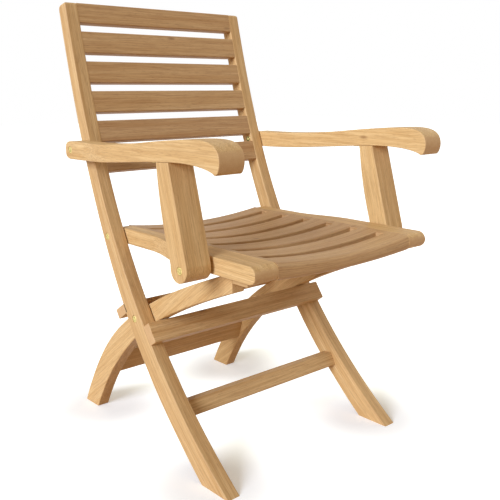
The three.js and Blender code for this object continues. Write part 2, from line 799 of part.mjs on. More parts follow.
function shapePost() {
  const { frontHead, rearHead, frontFoot, rearFoot, foot } = postEdges();
  const rings = [];
  for (let i = 0; i <= arcCuts; i += 1) {
    const angle = (endCutShare + (1 - endCutShare) * i / arcCuts) * Math.PI / 2;
    const half = postFootRound * Math.sin(angle);
    const low = foot.y - postFootRound * Math.cos(angle);
    rings.push(postRing(new THREE.Vector2(foot.x - half, low), new THREE.Vector2(foot.x + half, low)));
  }
  const cuts = arcCuts * 2;
  for (let i = 0; i <= cuts; i += 1) {
    const t = i / cuts;
    const front = new THREE.Vector2().lerpVectors(frontFoot, frontHead, t);
    const rear = new THREE.Vector2().lerpVectors(rearFoot, rearHead, t);
    rear.x += postBow * Math.sin(Math.PI * t);
    rings.push(postRing(front, rear));
  }
  let post = skin(rings);
  post = post.subtract(rodAt(postInner - overrun, postOuter + overrun, postPivot, shankRadius + fitGap));
  post = post.subtract(boltSeat(postOuter, postPivot, 1));
  return post.subtract(hingeRecess(postLeafLean(), -1));
}

function postRing(front, rear) {
  return sawnRing(front, rear, postInner, () => postOuter, easedEdge);
}

// Fittings

// Bolt with a round sunk head and a hexagon socket.
function shapeBolt(face, middle, tip) {
  const faceX = face - headSink;
  const length = faceX - tip;
  const bolt = turned([
    [0, 0], [0, headRadius - rimRound], [rimRound, headRadius], [headThickness, headRadius],
    [headThickness, shankRadius], [length - rimRound, shankRadius],
    [length, shankRadius - rimRound], [length, 0],
  ], faceX, middle, -1);
  return bolt.subtract(socketTool(faceX, middle));
}

// Hexagon socket, sunk into a head from its face.
function socketTool(face, middle) {
  const toCorner = socketWidth / Math.sqrt(3);
  const socket = new THREE.CylinderGeometry(toCorner, toCorner, socketDepth * 2, 6);
  socket.rotateZ(Math.PI / 2);
  socket.translate(face, middle.x, middle.y);
  return solidOf(socket);
}

// Cap nut: a sunk head like the bolt's, with a sleeve that takes the bolt's end.
function shapeCapNut(face, middle) {
  const faceX = face + headSink;
  const bore = shankRadius + fitGap;
  const length = headThickness + capLength;
  const nut = turned([
    [0, 0], [0, headRadius - rimRound], [rimRound, headRadius], [headThickness, headRadius],
    [headThickness, sleeveRadius], [length, sleeveRadius],
    [length, bore], [headThickness, bore], [headThickness, 0],
  ], faceX, middle, 1);
  return nut.subtract(socketTool(faceX, middle));
}

function sleeveBore(face, middle) {
  const end = face + headSink + headThickness + capLength + fitGap;
  return rodAt(face, end, middle, sleeveRadius + fitGap);
}

// Blind bore for a threaded sleeve, drilled from outside.
function insertBore(face, outermost, middle) {
  return rodAt(face - insertLength - fitGap, outermost + overrun, middle, insertRadius + fitGap);
}

// Threaded sleeve pressed into a rail or a leg.
function shapeInsert(face, middle) {
  const bore = shankRadius + fitGap;
  const floor = insertLength - rimRound;
  return turned([
    [0, bore], [0, insertRadius], [insertLength, insertRadius],
    [insertLength, 0], [floor, 0], [floor, bore], [0, bore],
  ], face, middle, -1);
}

// Where a bolt ends in a sleeve that is pressed into a face.
function insertTip(face) {
  return face - insertLength + rimRound + fitGap;
}

function shapeWasher(x0, x1, middle, radius) {
  const ring = rodAt(x0 + washerPlay, x1 - washerPlay, middle, radius);
  return ring.subtract(rodAt(x0 - overrun, x1 + overrun, middle, shankRadius + fitGap));
}

const hingeMiddle = (armInner + armOuter) / 2;
const knuckleLength = leafLength / 3;

function knuckle(x0, x1, play) {
  return rodAt(x0, x1, hingePivot, knuckleRadius + play);
}

function hingeBore() {
  return rodAt(hingeMiddle - overrun, hingeMiddle + overrun, hingePivot, hingePinRadius + knuckleGap);
}

// Plate of a leaf, tangent to the barrel: it runs back under the arm, or down the rear face of the post.
function leafPlate(lean, downward, play) {
  const half = leafLength / 2 + play;
  const out = new THREE.Vector2(Math.cos(lean), -Math.sin(lean));
  const up = new THREE.Vector2(Math.sin(lean), Math.cos(lean));
  const middle = hingePivot.clone().addScaledVector(out, leafWidth / 2);
  middle.addScaledVector(up, downward * (knuckleRadius - leafThickness / 2));
  const thickness = leafThickness + play * 2;
  return boxAt(hingeMiddle - half, hingeMiddle + half, middle, lean, leafWidth + play * 2, thickness);
}

// Keeps a plate clear of the other leaf's knuckles.
function knuckleWindow(x0, x1) {
  const reach = (knuckleRadius + knuckleGap) * 2;
  return boxAt(x0, x1, hingePivot, 0, reach, reach);
}

// Recess for one leaf and the barrel, let into the wood.
function hingeRecess(lean, downward) {
  const half = leafLength / 2 + pinHeadLift + fitGap;
  const barrel = knuckle(hingeMiddle - half, hingeMiddle + half, knuckleGap);
  return leafPlate(lean, downward, fitGap).add(barrel);
}

// Slope of the arm's underside where the leaf lies, and of the post's rear face.
function armLeafLean() {
  return Math.atan2(armUnderAt(hingePivot.x) - armUnderAt(hingePivot.x + leafWidth), leafWidth);
}

function postLeafLean() {
  const { rearHead, rearFoot } = postEdges();
  return Math.atan2(rearHead.y - rearFoot.y, rearFoot.x - rearHead.x + Math.PI * postBow);
}

// Leaf under the arm, with the two outer knuckles.
function shapeArmLeaf() {
  const half = leafLength / 2;
  const inner = knuckleLength / 2 + knuckleGap;
  return leafPlate(armLeafLean(), 1, 0)
    .subtract(knuckleWindow(hingeMiddle - inner, hingeMiddle + inner))
    .add(knuckle(hingeMiddle - half, hingeMiddle - inner, 0))
    .add(knuckle(hingeMiddle + inner, hingeMiddle + half, 0))
    .subtract(hingeBore());
}

// Leaf on the rear face of the post, with the middle knuckle.
function shapePostLeaf() {
  const half = leafLength / 2;
  const inner = knuckleLength / 2;
  return leafPlate(postLeafLean(), -1, 0)
    .subtract(knuckleWindow(hingeMiddle - half - overrun, hingeMiddle - inner))
    .subtract(knuckleWindow(hingeMiddle + inner, hingeMiddle + half + overrun))
    .add(knuckle(hingeMiddle - inner, hingeMiddle + inner, 0))
    .subtract(hingeBore());
}

function shapeHingePin() {
  const half = leafLength / 2 + pinHeadLift;
  return rodAt(hingeMiddle - half, hingeMiddle + half, hingePivot, hingePinRadius);
}

// Assembly

function mirroredGeometry(geometry) {
  const copy = geometry.clone();
  copy.scale(-1, 1, 1);
  const index = copy.index;
  for (let i = 0; i < index.count; i += 3) {
    const a = index.getX(i);
    index.setX(i, index.getX(i + 1));
    index.setX(i + 1, a);
  }
  return copy;
}

function geometryOf(solid) {
  const mesh = solid.getMesh();
  const geometry = new THREE.BufferGeometry();
  const positions = [];
  for (let i = 0; i < mesh.vertProperties.length; i += mesh.numProp) {
    positions.push(mesh.vertProperties[i], mesh.vertProperties[i + 1], mesh.vertProperties[i + 2]);
  }
  geometry.setAttribute("position", new THREE.Float32BufferAttribute(positions, 3));
  geometry.setIndex(Array.from(mesh.triVerts));
  return geometry;
}

function mirrored(solid) {
  return solidOf(mirroredGeometry(geometryOf(solid)));
}

const group = new THREE.Group();
group.name = "folding_teak_armchair";
const shapes = [];

function woodMaterial() {
  return new THREE.MeshStandardMaterial({ color: teakColour, roughness: teakRoughness, metalness: 0 });
}

function brassMaterial() {
  return new THREE.MeshStandardMaterial({ color: brassColour, roughness: brassRoughness, metalness: 1 });
}

function addPiece(name, geometry, material) {
  shapes.push({ name, geometry, material: material() });
}

function addSingle(name, solid, material) {
  addPiece(name, geometryOf(solid), material);
}

function addPair(name, solid, material) {
  const right = geometryOf(solid);
  addPiece(`${name}_left`, mirroredGeometry(right), material);
  addPiece(`${name}_right`, right, material);
}

addPair("stile", shapeStile(), woodMaterial);
backSlatPlaces().forEach((place, i) => {
  addSingle(`back_slat_${i + 1}`, shapeBackSlat(place), woodMaterial);
});
addSingle("crossbar_front", shapeBar(frontBar), woodMaterial);
addSingle("crossbar_rear", shapeBar(rearBar), woodMaterial);
addSingle("stretcher_front", shapeStretcher(), woodMaterial);
addPair("rear_leg", shapeLeg(), woodMaterial);
addSingle("rear_leg_bar", shapeLegBar(), woodMaterial);
addPair("seat_rail", shapeRail(), woodMaterial);
for (let k = 0; k < seatSlatCount; k += 1) {
  addSingle(`seat_slat_${k + 1}`, shapeSeatSlat(k), woodMaterial);
}
addPair("seat_stop", shapeStop(), woodMaterial);
addPair("arm", shapeArm(), woodMaterial);
addPair("post", shapePost(), woodMaterial);

const capReach = headSink + headThickness + fitGap;
addPair("arm_bolt", shapeBolt(armRearOuter, armPivot, stileInner + capReach), brassMaterial);
addPair("arm_nut", shapeCapNut(stileInner, armPivot), brassMaterial);
addPair("arm_washer", shapeWasher(stileOuter, armInner, armPivot, washerRadius), brassMaterial);
addPair("leg_bolt", shapeBolt(stileOuter, legPivot, insertTip(legOuter)), brassMaterial);
addPair("leg_insert", shapeInsert(legOuter, legPivot), brassMaterial);
addPair("leg_washer", shapeWasher(legOuter, stileInner, legPivot, washerRadius), brassMaterial);
addPair("seat_bolt", shapeBolt(stileOuter, seatPivot, insertTip(railRearOuter)), brassMaterial);
addPair("seat_insert", shapeInsert(railRearOuter, seatPivot), brassMaterial);
addPair("seat_washer", shapeWasher(railRearOuter, stileInner, seatPivot, washerRadius), brassMaterial);
addPair("post_bolt", shapeBolt(postOuter, postPivot, insertTip(railOuter)), brassMaterial);
addPair("post_insert", shapeInsert(railOuter, postPivot), brassMaterial);
addPair("post_spacer", shapeWasher(railOuter, postInner, postPivot, spacerRadius), brassMaterial);
addPair("hinge_arm_leaf", shapeArmLeaf(), brassMaterial);
addPair("hinge_post_leaf", shapePostLeaf(), brassMaterial);
addPair("hinge_pin", shapeHingePin(), brassMaterial);

// The finished chair stands on the floor with the middle of its box over the origin.
const box = new THREE.Box3();
for (const { geometry } of shapes) {
  geometry.computeBoundingBox();
  box.union(geometry.boundingBox);
}
const centre = box.getCenter(new THREE.Vector3());
for (const { name, geometry, material } of shapes) {
  geometry.translate(-centre.x, -centre.y, -box.min.z);
  const creased = toCreasedNormals(geometry, creaseAngle);
  const mesh = new THREE.Mesh(creased, material);
  mesh.name = name;
  group.add(mesh);
}

export default group;
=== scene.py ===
# Folding teak armchair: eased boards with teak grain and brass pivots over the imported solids, and its stage.
import json
import math

import bmesh
import bpy
from mathutils import Euler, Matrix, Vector


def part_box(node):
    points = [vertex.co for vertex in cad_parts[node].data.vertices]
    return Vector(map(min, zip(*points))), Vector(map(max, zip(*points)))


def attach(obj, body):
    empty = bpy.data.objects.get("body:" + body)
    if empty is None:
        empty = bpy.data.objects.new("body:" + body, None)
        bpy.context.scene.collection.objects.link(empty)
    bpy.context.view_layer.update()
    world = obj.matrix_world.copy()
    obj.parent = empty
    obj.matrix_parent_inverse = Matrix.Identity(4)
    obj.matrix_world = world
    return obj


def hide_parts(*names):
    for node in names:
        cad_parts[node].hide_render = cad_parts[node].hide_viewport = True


bl_info = {
    "name": "Folding teak armchair",
    "version": (1, 0, 0),
    "blender": (4, 5, 0),
    "location": "3D View > Sidebar > Armchair",
    "description": "Dresses the frame of a folding slatted armchair in teak and brass and lights it",
    "category": "Object",
}

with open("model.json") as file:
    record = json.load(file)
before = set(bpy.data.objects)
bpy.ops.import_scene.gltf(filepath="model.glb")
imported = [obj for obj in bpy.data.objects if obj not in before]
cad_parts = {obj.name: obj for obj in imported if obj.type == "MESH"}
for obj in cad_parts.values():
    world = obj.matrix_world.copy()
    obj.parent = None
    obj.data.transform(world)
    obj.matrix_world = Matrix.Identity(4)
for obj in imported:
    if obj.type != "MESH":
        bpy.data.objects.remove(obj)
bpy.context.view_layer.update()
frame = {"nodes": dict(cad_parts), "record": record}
RECORD = frame["record"]
PIVOTS = {joint["name"]: Vector(joint["pos_m"]) for joint in RECORD["behaviour"]["joints"]}
BODY_OF = {node: body for body, nodes in RECORD["behaviour"]["bodies"].items() for node in nodes}
SIDES = {"left": -1, "right": 1}

MM = 0.001
# The seat's front stands this far in front of the toe line, from which the bowed members are drawn.
SEAT_OVERHANG = 80 * MM
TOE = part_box("seat_slat_1")[0].y + SEAT_OVERHANG
ARC_STEPS = 4
MEMBER_STEPS = 72
TURN_STEPS = 48
HALVINGS = 30
MOST_ARRIS_SHARE = 0.45
LEAST_ARRIS = 0.05 * MM
# Sockets of the Mix node when it mixes colours.
MIX_A, MIX_B, MIX_RESULT = 6, 7, 2


# Sizes and colours that a user would change

def length(name, description, default):
    return bpy.props.FloatProperty(name=name, description=description, default=default, min=0, unit="LENGTH")


class ArmchairSizes(bpy.types.PropertyGroup):
    """Roundings and the seat's form. Outer sizes and places come from the frame."""

    member_arris: length("Member arris", "Rounding of the thick members' long edges", 2.4 * MM)
    arm_arris: length("Arm arris", "Rounding of the arms' long edges", 1.7 * MM)
    post_arris: length("Post arris", "Rounding of the posts' long edges", 1.6 * MM)
    slat_arris: length("Slat arris", "Rounding of the slats' long edges", 2.2 * MM)
    bar_arris: length("Crossbar arris", "Rounding of the crossbars' long edges", 1.2 * MM)
    leg_bar_height: length("Leg bar height", "Height of the bar between the rear legs", 52 * MM)
    stretcher_slant: length("Stretcher slant", "Rise of the stretcher's upper edge to the rear", 9 * MM)
    joint_arris: length("Joint arris", "Rounding where two boards meet flush", 0.4 * MM)
    end_ease: length("End ease", "Rounding where a board's sawn end shows", 1.2 * MM)
    head_round: length("Head round", "Rear corner at the head of a stile", 11 * MM)
    head_ease: length("Head ease", "Other corners at the head of a stile", 5 * MM)
    slot_width: length("Slot width", "Gap between two seat slats", 19 * MM)
    slot_corner: length("Slot corner", "Rounding at the square end of a slot", 2 * MM)
    slot_margin: length("Slot margin", "From the end of a slot to the rail", 14 * MM)
    dish: length("Seat dish", "Sag of the seat in the middle", 13 * MM)
    seat_thickness: length("Seat slat thickness", "Thickness of the seat slats", 20 * MM)
    nose_thickness: length("First slat thickness", "Thickness of the front slat at its ends", 31.5 * MM)
    nose_dish: length("First slat sag", "Sag of the front slat's underside", 7 * MM)
    nose_round: length("Seat nose", "Rounding of the front slat's upper edge", 12 * MM)
    nose_under_round: length("Seat nose under", "Rounding of the front slat's lower edge", 9 * MM)
    nose_setback: length("Seat nose setback", "From the rails' noses back to the front slat's face", 1.2 * MM)


def linear(hex_text):
    """An sRGB hex value as linear red, green, blue and alpha."""
    values = [int(hex_text[i:i + 2], 16) / 255 for i in (0, 2, 4)]
    return [v / 12.92 if v <= 0.04045 else ((v + 0.055) / 1.055) ** 2.4 for v in values] + [1.0]


def colour(name, description, hex_text):
    return bpy.props.FloatVectorProperty(
        name=name, description=description, subtype="COLOR", size=4, min=0, max=1, default=linear(hex_text))


class ArmchairColours(bpy.types.PropertyGroup):
    """Colours of the finishes."""

    teak_pale: colour("Pale teak", "Pale streaks of the boards", "DFBC87")
    teak_mid: colour("Teak", "Ground colour of the oiled boards", "D4AD76")
    teak_dark: colour("Dark teak", "Late growth between the streaks", "C0935A")
    teak_late: colour("Teak fibre", "Fine brown fibres along the grain", "A87A45")
    teak_pore: colour("Teak pores", "Open vessels along the grain and pin knots", "8A5F37")
    teak_end: colour("Teak end grain", "Sawn ends across the fibres", "C9A273")
    brass_light: colour("Brass", "Turned brass of the pivot bolts", "E2CE88")
    brass_dark: colour("Tarnished brass", "Tarnish in the sockets and on the rims", "A08A4C")
    floor: colour("Floor", "Pale studio floor", "F2F2F2")
    floor_bounce: colour("Floor bounce", "Light that the floor throws back on the chair", "C9A276")


# Node helpers

def add(tree, kind, links=None, **settings):
    """Adds a node, sets its properties, and fills or links its inputs."""
    node = tree.nodes.new(kind)
    for name, value in settings.items():
        setattr(node, name, value)
    for key, value in (links or {}).items():
        if isinstance(value, bpy.types.NodeSocket):
            tree.links.new(value, node.inputs[key])
        else:
            node.inputs[key].default_value = value
    return node


def new_material(name):
    """An empty material, its tree and its output node."""
    material = bpy.data.materials.new(name)
    material.use_nodes = True
    material.node_tree.nodes.clear()
    return material, material.node_tree, add(material.node_tree, "ShaderNodeOutputMaterial")


# Materials

def teak_planed_and_oiled(colours):
    """Planed and oiled teak: straight brown streaks, short open pores, few pin knots, a low satin sheen."""
    material, tree, output = new_material("teak_planed_and_oiled")
    board = add(tree, "ShaderNodeAttribute", attribute_name="board").outputs["Vector"]
    tone = add(tree, "ShaderNodeAttribute", attribute_name="tone").outputs["Fac"]
    end = add(tree, "ShaderNodeAttribute", attribute_name="end_grain").outputs["Fac"]

    # The grain wanders by a few millimetres over a quarter of a metre.
    slow = add(tree, "ShaderNodeMapping", {"Vector": board, "Scale": (4.5, 9, 9)}).outputs[0]
    sway = add(tree, "ShaderNodeTexNoise", {"Vector": slow, "Scale": 1, "Detail": 2}).outputs["Color"]
    centred = add(tree, "ShaderNodeVectorMath", {
        0: sway, 1: (0.5, 0.5, 0.5),
    }, operation="SUBTRACT").outputs[0]
    wander = add(tree, "ShaderNodeVectorMath", {
        0: centred, 1: (0, 0.006, 0.006),
    }, operation="MULTIPLY").outputs[0]
    grain = add(tree, "ShaderNodeVectorMath", {0: board, 1: wander}, operation="ADD").outputs[0]

    # Growth bands 8 to 14 mm wide that run on for about half a metre.
    band_place = add(tree, "ShaderNodeMapping", {"Vector": grain, "Scale": (1.8, 95, 95)}).outputs[0]
    bands = add(tree, "ShaderNodeTexNoise", {
        "Vector": band_place, "Scale": 1, "Detail": 5, "Roughness": 0.62,
    }).outputs["Fac"]
    wood = add(tree, "ShaderNodeValToRGB", {"Fac": bands})
    ramp = wood.color_ramp
    ramp.elements[0].position = 0.28
    ramp.elements[0].color = colours.teak_dark
    ramp.elements[1].position = 0.7
    ramp.elements[1].color = colours.teak_pale
    ramp.elements.new(0.48).color = colours.teak_mid

    # Fibre streaks 1 to 2 mm wide and up to 80 mm long.
    streak_place = add(tree, "ShaderNodeMapping", {"Vector": grain, "Scale": (12, 520, 520)}).outputs[0]
    streaks = add(tree, "ShaderNodeTexNoise", {
        "Vector": streak_place, "Scale": 1, "Detail": 3, "Roughness": 0.6,
    }).outputs["Fac"]
    streak_amount = add(tree, "ShaderNodeMapRange", {
        "Value": streaks, "From Min": 0.32, "From Max": 0.6, "To Min": 0.62, "To Max": 0,
    }).outputs[0]
    streaked = add(tree, "ShaderNodeMix", {
        0: streak_amount, MIX_A: wood.outputs[0], MIX_B: colours.teak_late,
    }, data_type="RGBA").outputs[MIX_RESULT]

    # Pores are about 0.3 mm wide and 8 mm long, drawn 0.8 by 17 mm so that they show.
    pore_place = add(tree, "ShaderNodeMapping", {"Vector": grain, "Scale": (60, 1200, 1200)}).outputs[0]
    pore_noise = add(tree, "ShaderNodeTexNoise", {
        "Vector": pore_place, "Scale": 1, "Detail": 1,
    }).outputs["Fac"]
    pores = add(tree, "ShaderNodeMapRange", {
        "Value": pore_noise, "From Min": 0.6, "From Max": 0.74, "To Min": 0, "To Max": 0.5,
    }).outputs[0]
    pored = add(tree, "ShaderNodeMix", {
        0: pores, MIX_A: streaked, MIX_B: colours.teak_pore,
    }, data_type="RGBA").outputs[MIX_RESULT]

    # Pin knots: a dark eye a few millimetres wide, drawn out along the grain, where a face cuts
    # near the middle of a cell.
    knot_place = add(tree, "ShaderNodeMapping", {"Vector": grain, "Scale": (4.5, 12, 12)}).outputs[0]
    knots = add(tree, "ShaderNodeTexVoronoi", {"Vector": knot_place, "Scale": 1, "Randomness": 1})
    knot_eye = add(tree, "ShaderNodeMapRange", {
        "Value": knots.outputs["Distance"], "From Min": 0.02, "From Max": 0.075, "To Min": 0.7, "To Max": 0,
    }, interpolation_type="SMOOTHSTEP").outputs[0]
    knotted = add(tree, "ShaderNodeMix", {
        0: knot_eye, MIX_A: pored, MIX_B: colours.teak_pore,
    }, data_type="RGBA").outputs[MIX_RESULT]

    # Each board comes from another plank: a little lighter, darker, redder or yellower. The lowest tones,
    # given to the slats, paint the shade on the seat and the back.
    hue = add(tree, "ShaderNodeMapRange", {"Value": tone, "To Min": 0.494, "To Max": 0.505}).outputs[0]
    value = add(tree, "ShaderNodeMapRange", {"Value": tone, "To Min": 0.8, "To Max": 1.05}).outputs[0]
    toned = add(tree, "ShaderNodeHueSaturation", {"Hue": hue, "Value": value, "Color": knotted}).outputs[0]

    # End grain drinks more oil: darker, with the growth bands cut across.
    end_amount = add(tree, "ShaderNodeMath", {0: end, 1: 0.7}, operation="MULTIPLY").outputs[0]
    sawn = add(tree, "ShaderNodeMix", {
        0: end_amount, MIX_A: toned, MIX_B: colours.teak_end,
    }, data_type="RGBA").outputs[MIX_RESULT]

    rough = add(tree, "ShaderNodeMapRange", {
        "Value": streaks, "From Min": 0.3, "From Max": 0.7, "To Min": 0.5, "To Max": 0.64,
    }).outputs[0]
    relief = add(tree, "ShaderNodeMath", {0: streaks, 1: pores}, operation="SUBTRACT").outputs[0]
    bump = add(tree, "ShaderNodeBump", {"Strength": 0.2, "Distance": 0.0006, "Height": relief}).outputs[0]
    shader = add(tree, "ShaderNodeBsdfPrincipled", {
        "Base Color": sawn, "Roughness": rough, "Normal": bump, "IOR": 1.5, "Specular IOR Level": 0.4,
    })
    tree.links.new(shader.outputs[0], output.inputs["Surface"])
    return material


def brass_turned_and_weathered(colours):
    """Turned brass left bare outdoors: olive-gold, brushed round by the lathe, tarnished in patches."""
    material, tree, output = new_material("brass_turned_and_weathered")
    place = add(tree, "ShaderNodeTexCoord").outputs["Object"]
    # Tarnish patches about 3 mm across.
    patches = add(tree, "ShaderNodeTexNoise", {"Vector": place, "Scale": 330, "Detail": 3}).outputs["Fac"]
    amount = add(tree, "ShaderNodeMapRange", {
        "Value": patches, "From Min": 0.42, "From Max": 0.68, "To Min": 0, "To Max": 0.75,
    }).outputs[0]
    tint = add(tree, "ShaderNodeMix", {
        0: amount, MIX_A: colours.brass_light, MIX_B: colours.brass_dark,
    }, data_type="RGBA").outputs[MIX_RESULT]
    rough = add(tree, "ShaderNodeMapRange", {"Value": patches, "To Min": 0.34, "To Max": 0.6}).outputs[0]
    # Tool marks are a few hundredths of a millimetre, drawn 0.4 mm apart so that they show.
    marks = add(tree, "ShaderNodeTexNoise", {"Vector": place, "Scale": 2500, "Detail": 1}).outputs["Fac"]
    bump = add(tree, "ShaderNodeBump", {"Strength": 0.12, "Distance": 0.0002, "Height": marks}).outputs[0]
    shader = add(tree, "ShaderNodeBsdfPrincipled", {
        "Base Color": tint, "Metallic": 1, "Roughness": rough, "Normal": bump,
    })
    tree.links.new(shader.outputs[0], output.inputs["Surface"])
    return material


# Where the chair stands on the floor: x and y of the middle of a foot. The floor's glow is weaker around these
# places, which paints shade there.
FRONT_FOOT = (225 * MM, TOE + 50 * MM)
REAR_FOOT = (190 * MM, TOE + 500 * MM)
FEET = [(side * x, y, 0) for x, y in (FRONT_FOOT, REAR_FOOT) for side in SIDES.values()]


def seen_rays(tree):
    """1 for the rays that show the studio: the camera's, and those mirrored by or passed through a piece."""
    rays = add(tree, "ShaderNodeLightPath").outputs
    mirror = add(tree, "ShaderNodeMath", {
        0: rays["Is Glossy Ray"], 1: rays["Is Transmission Ray"],
    }, operation="MAXIMUM").outputs[0]
    return add(tree, "ShaderNodeMath", {
        0: rays["Is Camera Ray"], 1: mirror,
    }, operation="MAXIMUM").outputs[0]


def studio_floor(colours):
    """Matt white studio floor that shows soft shadows, with painted shade around the feet, and is white to the
    camera.
    """
    material, tree, output = new_material("floor_matt_white")
    place = add(tree, "ShaderNodeTexCoord").outputs["Object"]
    haze = add(tree, "ShaderNodeTexNoise", {"Vector": place, "Scale": 2, "Detail": 1}).outputs["Fac"]
    rough = add(tree, "ShaderNodeMapRange", {"Value": haze, "To Min": 0.85, "To Max": 0.95}).outputs[0]
    seen = seen_rays(tree)
    tint = add(tree, "ShaderNodeMix", {
        0: seen, MIX_A: colours.floor_bounce, MIX_B: colours.floor,
    }, data_type="RGBA").outputs[MIX_RESULT]
    paint = add(tree, "ShaderNodeBsdfPrincipled", {
        "Base Color": tint, "Roughness": rough, "Specular IOR Level": 0,
    })
    # A glow that lights no piece whitens the floor. It is weaker near each foot's place. This lets the shadows
    # beside the feet show, and it paints grey shade there also where no foot stands.
    reach = 1
    for foot in FEET:
        away = add(tree, "ShaderNodeVectorMath", {0: place, 1: foot}, operation="DISTANCE").outputs["Value"]
        reach = add(tree, "ShaderNodeMath", {0: reach, 1: away}, operation="MINIMUM").outputs[0]
    strength = add(tree, "ShaderNodeMapRange", {
        "Value": reach, "From Min": 0.05, "From Max": 0.2, "To Min": 0.26, "To Max": 0.78,
    }, interpolation_type="SMOOTHSTEP").outputs[0]
    glow = add(tree, "ShaderNodeEmission", {"Color": (0.94, 1, 0.96, 1), "Strength": strength})
    dark = add(tree, "ShaderNodeEmission", {"Strength": 0})
    lift = add(tree, "ShaderNodeMixShader", {0: seen, 1: dark.outputs[0], 2: glow.outputs[0]})
    both = add(tree, "ShaderNodeAddShader", {0: paint.outputs[0], 1: lift.outputs[0]})
    tree.links.new(both.outputs[0], output.inputs["Surface"])
    return material


FINISHES = {"teak": teak_planed_and_oiled, "brass": brass_turned_and_weathered}


def finish_of(slot):
    """The material of a slot, made once."""
    make = FINISHES[slot]
    return bpy.data.materials.get(make.__name__) or make(bpy.context.scene.armchair_colours)


# Curves in side view. Points are (y, z).

class Bow:
    """A bowed member: a Bezier centreline from its foot up, and its depth at the DEPTH_SHARES along it."""

    def __init__(self, foot, run, rise, pull_shares, depths):
        self.handles = [
            Vector((TOE + foot + run * along, rise * up)) for along, up in ((0, 0), *pull_shares, (1, 1))]
        self.depths = list(zip(DEPTH_SHARES, depths))

    def point(self, t):
        a, b, c, d = self.handles
        inside = min(max(t, 0), 1)
        rest = 1 - inside
        place = (rest ** 3 * a + 3 * rest * rest * inside * b
                 + 3 * rest * inside * inside * c + inside ** 3 * d)
        return place + self.tangent(inside) * (t - inside) * self.span()

    def tangent(self, t):
        a, b, c, d = self.handles
        t = min(max(t, 0), 1)
        rest = 1 - t
        return (rest * rest * (b - a) + 2 * rest * t * (c - b) + t * t * (d - c)).normalized()

    def span(self):
        return (self.handles[3] - self.handles[0]).length

    def at_level(self, level):
        """How far along the bow a height lies, from 0 at the foot to 1."""
        low, high = 0, 1
        for _ in range(HALVINGS):
            t = (low + high) / 2
            if self.point(t).y < level:
                low = t
            else:
                high = t
        return low

    def place(self, point):
        """A point as its distance along the bow, its distance from the centreline, and its x."""
        t = self.at_level(point.z)
        tangent = self.tangent(t)
        away = Vector((point.y, point.z)) - self.point(t)
        return Vector((t * self.span() + away.dot(tangent), away.dot(tangent.orthogonal()), point.x))

    def depth(self, t):
        stations = self.depths
        if t <= stations[0][0]:
            return stations[0][1]
        for (t0, d0), (t1, d1) in zip(stations, stations[1:]):
            if t <= t1:
                part = (t - t0) / (t1 - t0)
                return d0 + (d1 - d0) * (part + part * part * (3 - 2 * part)) / 2
        return stations[-1][1]

    def edge(self, t, offset):
        tangent = self.tangent(t)
        return self.point(t) + Vector((-tangent.y, tangent.x)) * offset


DEPTH_SHARES = (0, 0.33, 0.66, 1)
STILE_FOOT = 26.2 * MM
STILE_RUN = 507.2 * MM
STILE_RISE = 908.6 * MM
STILE_PULL_SHARES = ((0.55, 0.2431), (0.8044, 0.5392))
STILE_DEPTHS = (49 * MM, 47 * MM, 34 * MM, 29.5 * MM)
LEG_FOOT = 526 * MM
LEG_HEAD_DROP = 12 * MM
LEG_PULL_SHARES = ((0.187, 0.4995), (0.425, 0.714))
LEG_DEPTHS = (49 * MM, 51.4 * MM, 39.5 * MM, 35.5 * MM)
LEG_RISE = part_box("seat_rail_right")[0].z - LEG_HEAD_DROP
STILE = Bow(STILE_FOOT, STILE_RUN, STILE_RISE, STILE_PULL_SHARES, STILE_DEPTHS)
LEG = Bow(LEG_FOOT, -LEG_FOOT, LEG_RISE, LEG_PULL_SHARES, LEG_DEPTHS)
ARM_TOP_SHARES = [
    (0, 0.38), (0.005, 0.49), (0.021, 0.557), (0.062, 0.569), (0.14, 0.57), (0.23, 0.58),
    (0.34, 0.616), (0.45, 0.68), (0.56, 0.766), (0.67, 0.865), (0.775, 0.943), (0.853, 0.983),
    (0.908, 0.99), (0.946, 0.955), (0.972, 0.88), (0.99, 0.76), (0.9985, 0.6), (1, 0.46),
    (0.997, 0.33), (0.991, 0.22), (0.984, 0.165),
]
ARM_UNDER_SHARES = [
    (0, 0.18), (0.005, 0.07), (0.021, 0.008), (0.062, 0), (0.14, 0.01), (0.23, 0.037),
    (0.34, 0.09), (0.45, 0.16), (0.56, 0.235), (0.67, 0.304), (0.755, 0.346), (0.82, 0.354),
    (0.862, 0.342), (0.893, 0.322), (0.916, 0.298), (0.936, 0.27), (0.95, 0.244), (0.96, 0.221),
    (0.967, 0.2), (0.972, 0.18), (0.976, 0.163),
]


def spline(points, t):
    """Centripetal Catmull-Rom curve through points, t from 0 to 1."""
    last = len(points) - 1
    i = min(int(t * last), last - 1)
    part = t * last - i
    b, c = points[i], points[i + 1]
    a = points[i - 1] if i > 0 else 2 * b - c
    d = points[i + 2] if i + 2 <= last else 2 * c - b
    ab, bc, cd = (max((q - p).length, 1e-9) ** 0.5 for p, q in ((a, b), (b, c), (c, d)))
    leave = ((b - a) / ab - (c - a) / (ab + bc) + (c - b) / bc) * bc
    arrive = ((c - b) / bc - (d - b) / (bc + cd) + (d - c) / cd) * bc
    square, cube = part * part, part ** 3
    return (b + leave * part + (3 * (c - b) - 2 * leave - arrive) * square
            + (2 * (b - c) + leave + arrive) * cube)


def soft_step(start, end, at):
    part = min(max((at - start) / (end - start), 0), 1)
    return part * part * (3 - 2 * part)


def round_inset(radius, distance):
    """What a rounded corner takes off a face at a distance from the end."""
    if distance >= radius:
        return 0
    rest = radius - max(distance, 0)
    return radius - math.sqrt(max(radius * radius - rest * rest, 0))


def round_steps(radius, steps=ARC_STEPS * 2):
    """Distances from the end at which a rounded corner is cut, outermost last."""
    return [radius * (1 - math.sin(i / steps * math.pi / 2)) for i in range(steps + 1)]


# Solids

